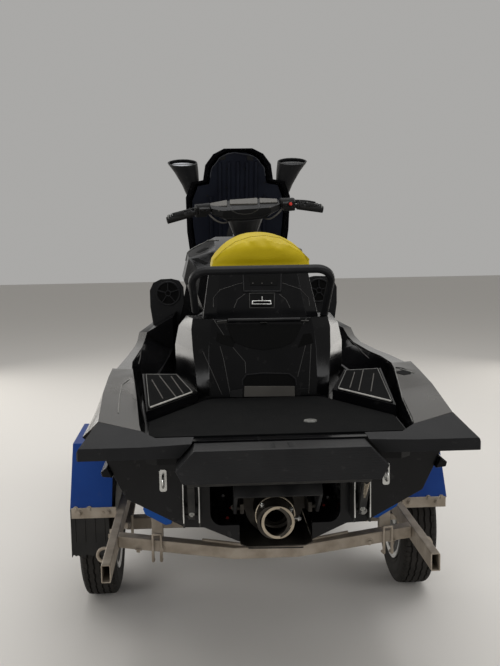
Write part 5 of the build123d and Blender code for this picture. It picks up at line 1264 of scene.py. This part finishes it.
def frame_hardware():
    """Bolts of the fender straps, side rails and rear cross bar, and the spring clamps."""
    bolts, clamps = Forms(), Forms()
    for side in BOTH_SIDES:
        for y in (0.655, 1.305):
            for x in (0.69, 0.64):
                spot = at(side * x, y + (0.012 if y < 1 else -0.012), 0.9)
                hit, normal = touch(spot, DOWN, "fender_straps")
                if hit.z > STRAP_HEIGHT:
                    bolts.bolt(hit, normal, 0.0065)
        for y in (0.45, 1.55):
            hit, normal = touch(at(side * 0.9, y, 0.405), Vector((-side, 0, 0)), "side_rails")
            bolts.bolt(hit, normal, 0.0085)
            bolts.bolt(hit + Vector((0, 0.05, 0)), normal, 0.0085)
    for side in BOTH_SIDES:
        for x in (0.36, 0.44):
            hit, normal = touch(at(side * x, -0.5, 0.38), AHEAD, "rear_crossbar")
            bolts.bolt(hit, normal, 0.0075)
    bolts.piece("frame_bolts", "galvanised", edge=0.0005)
    for side in BOTH_SIDES:
        for y in (0.74, 1.2):
            for x in (-0.026, 0.026):
                clamps.rod(at(side * 0.515 + x, y, 0.3), at(side * 0.515 + x, y, 0.385),
                           0.0055, 12)
    clamps.piece("spring_clamps", "galvanised")


frame_hardware()
bar("rear_gussets", [[seen(203.6, 527.3, "rear_crossbar")[0], seen(244.4, 545, "rear_crossbar")[0]],
                     [seen(304, 541, "rear_crossbar")[0], seen(346.6, 524, "rear_crossbar")[0]]],
    0.007, "galvanised")
laid_plates("keel_pad", "rear_crossbar",
            [[(248, 541), (304, 540), (303.5, 548), (248.5, 549)]], 0.006, "roller_rubber")
laid_bolts("strap_bolts_port", "fender_straps", [(79, 513), (108, 512)], 0.007, "galvanised")
laid_bolts("strap_bolts_starboard", "fender_straps", [(410, 502), (437, 501)], 0.007,
           "galvanised")


RING_RADIUS = 0.024
HARDWARE_WIRE = 0.0055


def u_bolts():
    """U-bolts and ring eyes at the ends of the rear cross bar."""
    runs, rings = [], []
    for side in BOTH_SIDES:
        x = CRAFT_X + side * 0.4
        runs.append([at(x - 0.014, 0.395, 0.335), at(x - 0.014, 0.364, 0.34),
                     at(x - 0.014, 0.364, 0.434), at(x + 0.014, 0.364, 0.434),
                     at(x + 0.014, 0.364, 0.34), at(x + 0.014, 0.395, 0.335)])
        middle = at(side * 0.558, 0.385, 0.36)
        rings.append([middle + Vector((RING_RADIUS * math.cos(t), 0, RING_RADIUS * math.sin(t)))
                      for t in round_angles(28)])
    bar("crossbar_u_bolts", runs, HARDWARE_WIRE, "galvanised")
    bar("tie_down_rings", rings, HARDWARE_WIRE, "galvanised", closed=True)


u_bolts()


FOLD_LENGTH = 0.3


def bunk_folds():
    """Folded carpet under the rear end of each bunk, sloped as the bunk is."""
    forms = Forms()
    for side in BOTH_SIDES:
        rear, front = (touch(aboard(side * 0.4, y, 0.2), UP, "bunks")[0]
                       for y in (0.405, 0.8))
        slope = (front.z - rear.z) / (front.y - rear.y)
        corners = [(0.448, 0.515), (0.44, 0.493), (0.37, 0.452), (0.35, 0.456), (0.345, 0.47),
                   (0.38, 0.5), (0.42, 0.53)]
        forms.prism([aboard(side * x, 0.4, z) for x, z in corners],
                    Vector((0, FOLD_LENGTH, FOLD_LENGTH * slope + 0.012)))
    forms.piece("bunk_carpet_folds", "bunk_blue", edge=0.005)


bunk_folds()


def drain_cover():
    """The small round drain cover on the platform."""
    forms = Forms()
    hit, normal = touch(aboard(0.12, 0.26, 1.4), DOWN, "deck_mats")
    forms.rod(hit - normal * 0.001, hit + normal * 0.004, 0.0225, 36, 0.92)
    forms.piece("drain_cover", "seam_grey", edge=0.0008)


drain_cover()

# Mud flap, winch and drawbar


def flap_fittings():
    """Moulded ribs and fixing bolts of the port mud flap."""
    low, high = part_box("mud_flap")
    ribs, bolts = Forms(), Forms()
    for share in (0.12, 0.37, 0.63, 0.88):
        x = low.x + (high.x - low.x) * share
        ribs.rod(Vector((x, low.y - 0.0005, low.z + 0.06)), Vector((x, low.y - 0.0005, 0.43)),
                 0.002, 8)
    for share in (0.15, 0.85):
        spot, normal = touch(Vector((low.x + (high.x - low.x) * share, low.y - 0.2, 0.425)),
                             AHEAD, "mud_flap")
        bolts.bolt(spot, normal, 0.006)
    ribs.piece("flap_ribs", "flap_rubber")
    bolts.piece("flap_bolts", "galvanised")


flap_fittings()


def winch():
    """Bare spool, cheeks and crank on the winch post."""
    low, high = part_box("winch_post")
    drum, cheeks, crank = Forms(), Forms(), Forms()
    hub = Vector(((low.x + high.x) / 2, low.y + 0.035, high.z - 0.13))
    front, _ = touch(hub + Vector((0, 0.5, 0)), ASTERN, "winch_post")
    hub.y = front.y + 0.036
    drum.rod(hub - Vector((0.03, 0, 0)), hub + Vector((0.03, 0, 0)), 0.026, 28)
    for step in (-0.031, 0.031):
        cheeks.rod(hub + Vector((step - 0.002, 0, 0)), hub + Vector((step + 0.002, 0, 0)),
                   0.036, 28)
    cheeks.rod(hub - Vector((0, 0.042, 0.02)), hub - Vector((0, 0, 0.02)), 0.012, 12)
    crank.rod(hub, hub + Vector((0.075, 0, 0)), 0.006, 12)
    crank.rod(hub + Vector((0.072, 0, 0)), hub + Vector((0.072, 0.03, -0.13)), 0.006, 12)
    crank.rod(hub + Vector((0.07, 0.03, -0.13)), hub + Vector((0.14, 0.03, -0.13)), 0.011, 16)
    drum.piece("winch_spool", "flap_rubber", edge=0.001)
    cheeks.piece("winch_cheeks", "galvanised")
    crank.piece("winch_crank", "bracket_black")


winch()


CROSSBAR_HEIGHT = 0.42


def drawbar_bolts():
    """The bolts along the drawbar and on the straight cross bars."""
    bolts = Forms()
    for y in (3.28, 3.4, 3.55):
        hit, normal = touch(at(0, y, 0.8), DOWN, "drawbar")
        bolts.bolt(hit, normal, 0.008)
    for side in BOTH_SIDES:
        for y in (1.53, 2.38):
            hit, normal = touch(at(side * 0.3, y, 0.8), DOWN, "crossbars")
            if hit.z > CROSSBAR_HEIGHT:
                bolts.bolt(hit, normal, 0.007)
    bolts.piece("drawbar_bolts", "galvanised")


drawbar_bolts()

# Floor, backdrop and light
FLOOR_SIZE = 40
FLOOR_COLOUR = rgb(0.62, 0.6, 0.57)


def make_stage():
    """A pale plain floor."""
    data = bpy.data.meshes.new("floor")
    half = FLOOR_SIZE / 2
    data.from_pydata([(-half, -half, 0), (half, -half, 0), (half, half, 0), (-half, half, 0)],
                     [], [(0, 1, 2, 3)])
    floor = bpy.data.objects.new("floor", data)
    bpy.context.scene.collection.objects.link(floor)
    material = bpy.data.materials.new("floor")
    material.use_nodes = True
    shader = material.node_tree.nodes["Principled BSDF"]
    shader.inputs["Base Color"].default_value = FLOOR_COLOUR
    shader.inputs["Roughness"].default_value = 0.85
    shader.inputs["Specular IOR Level"].default_value = 0.15
    data.materials.append(material)


def add_area_light(name, place, target, size, power, tint):
    """A large soft lamp aimed at a point."""
    data = bpy.data.lights.new(name, "AREA")
    data.shape = "RECTANGLE"
    data.size, data.size_y = size
    data.energy = power
    data.color = tint
    lamp = bpy.data.objects.new(name, data)
    bpy.context.scene.collection.objects.link(lamp)
    lamp.location = place
    lamp.rotation_euler = (target - place).to_track_quat("-Z", "Y").to_euler()


WARM_WHITE, WHITE = (1.0, 0.97, 0.92), (1, 1, 1)

# Name, place, size in metres, power in watts and tint of each lamp
LAMPS = (("door_port", (-4.2, 5.2, 1.5), (3.8, 3.0), 105, WARM_WHITE),
         ("wall_starboard", (4.2, 5.6, 1.3), (2.6, 2.4), 42, WARM_WHITE),
         ("door_port_quarter", (-4.4, -3.8, 1.9), (2.6, 2.8), 110, WHITE),
         ("door_starboard_quarter", (5.0, -2.8, 2.1), (2.6, 2.8), 85, WHITE),
         ("ceiling", (0.5, 2.2, 5.5), (7.0, 4.6), 260, WHITE))


def light_scene():
    """Soft room light: openings to port and starboard, and the ceiling."""
    world = bpy.data.worlds.new("room")
    world.use_nodes = True
    bpy.context.scene.world = world
    tree = world.node_tree
    background = tree.nodes["Background"]
    background.inputs["Color"].default_value = rgb(0.8, 0.79, 0.77)
    background.inputs["Strength"].default_value = 0.5
    middle = at(0, 1.5, 0.8)
    for name, place, size, power, tint in LAMPS:
        add_area_light(name, at(*place), middle, size, power, tint)


bpy.context.scene.view_settings.view_transform = "Standard"
make_stage()
light_scene()

bpy.context.view_layer.update()
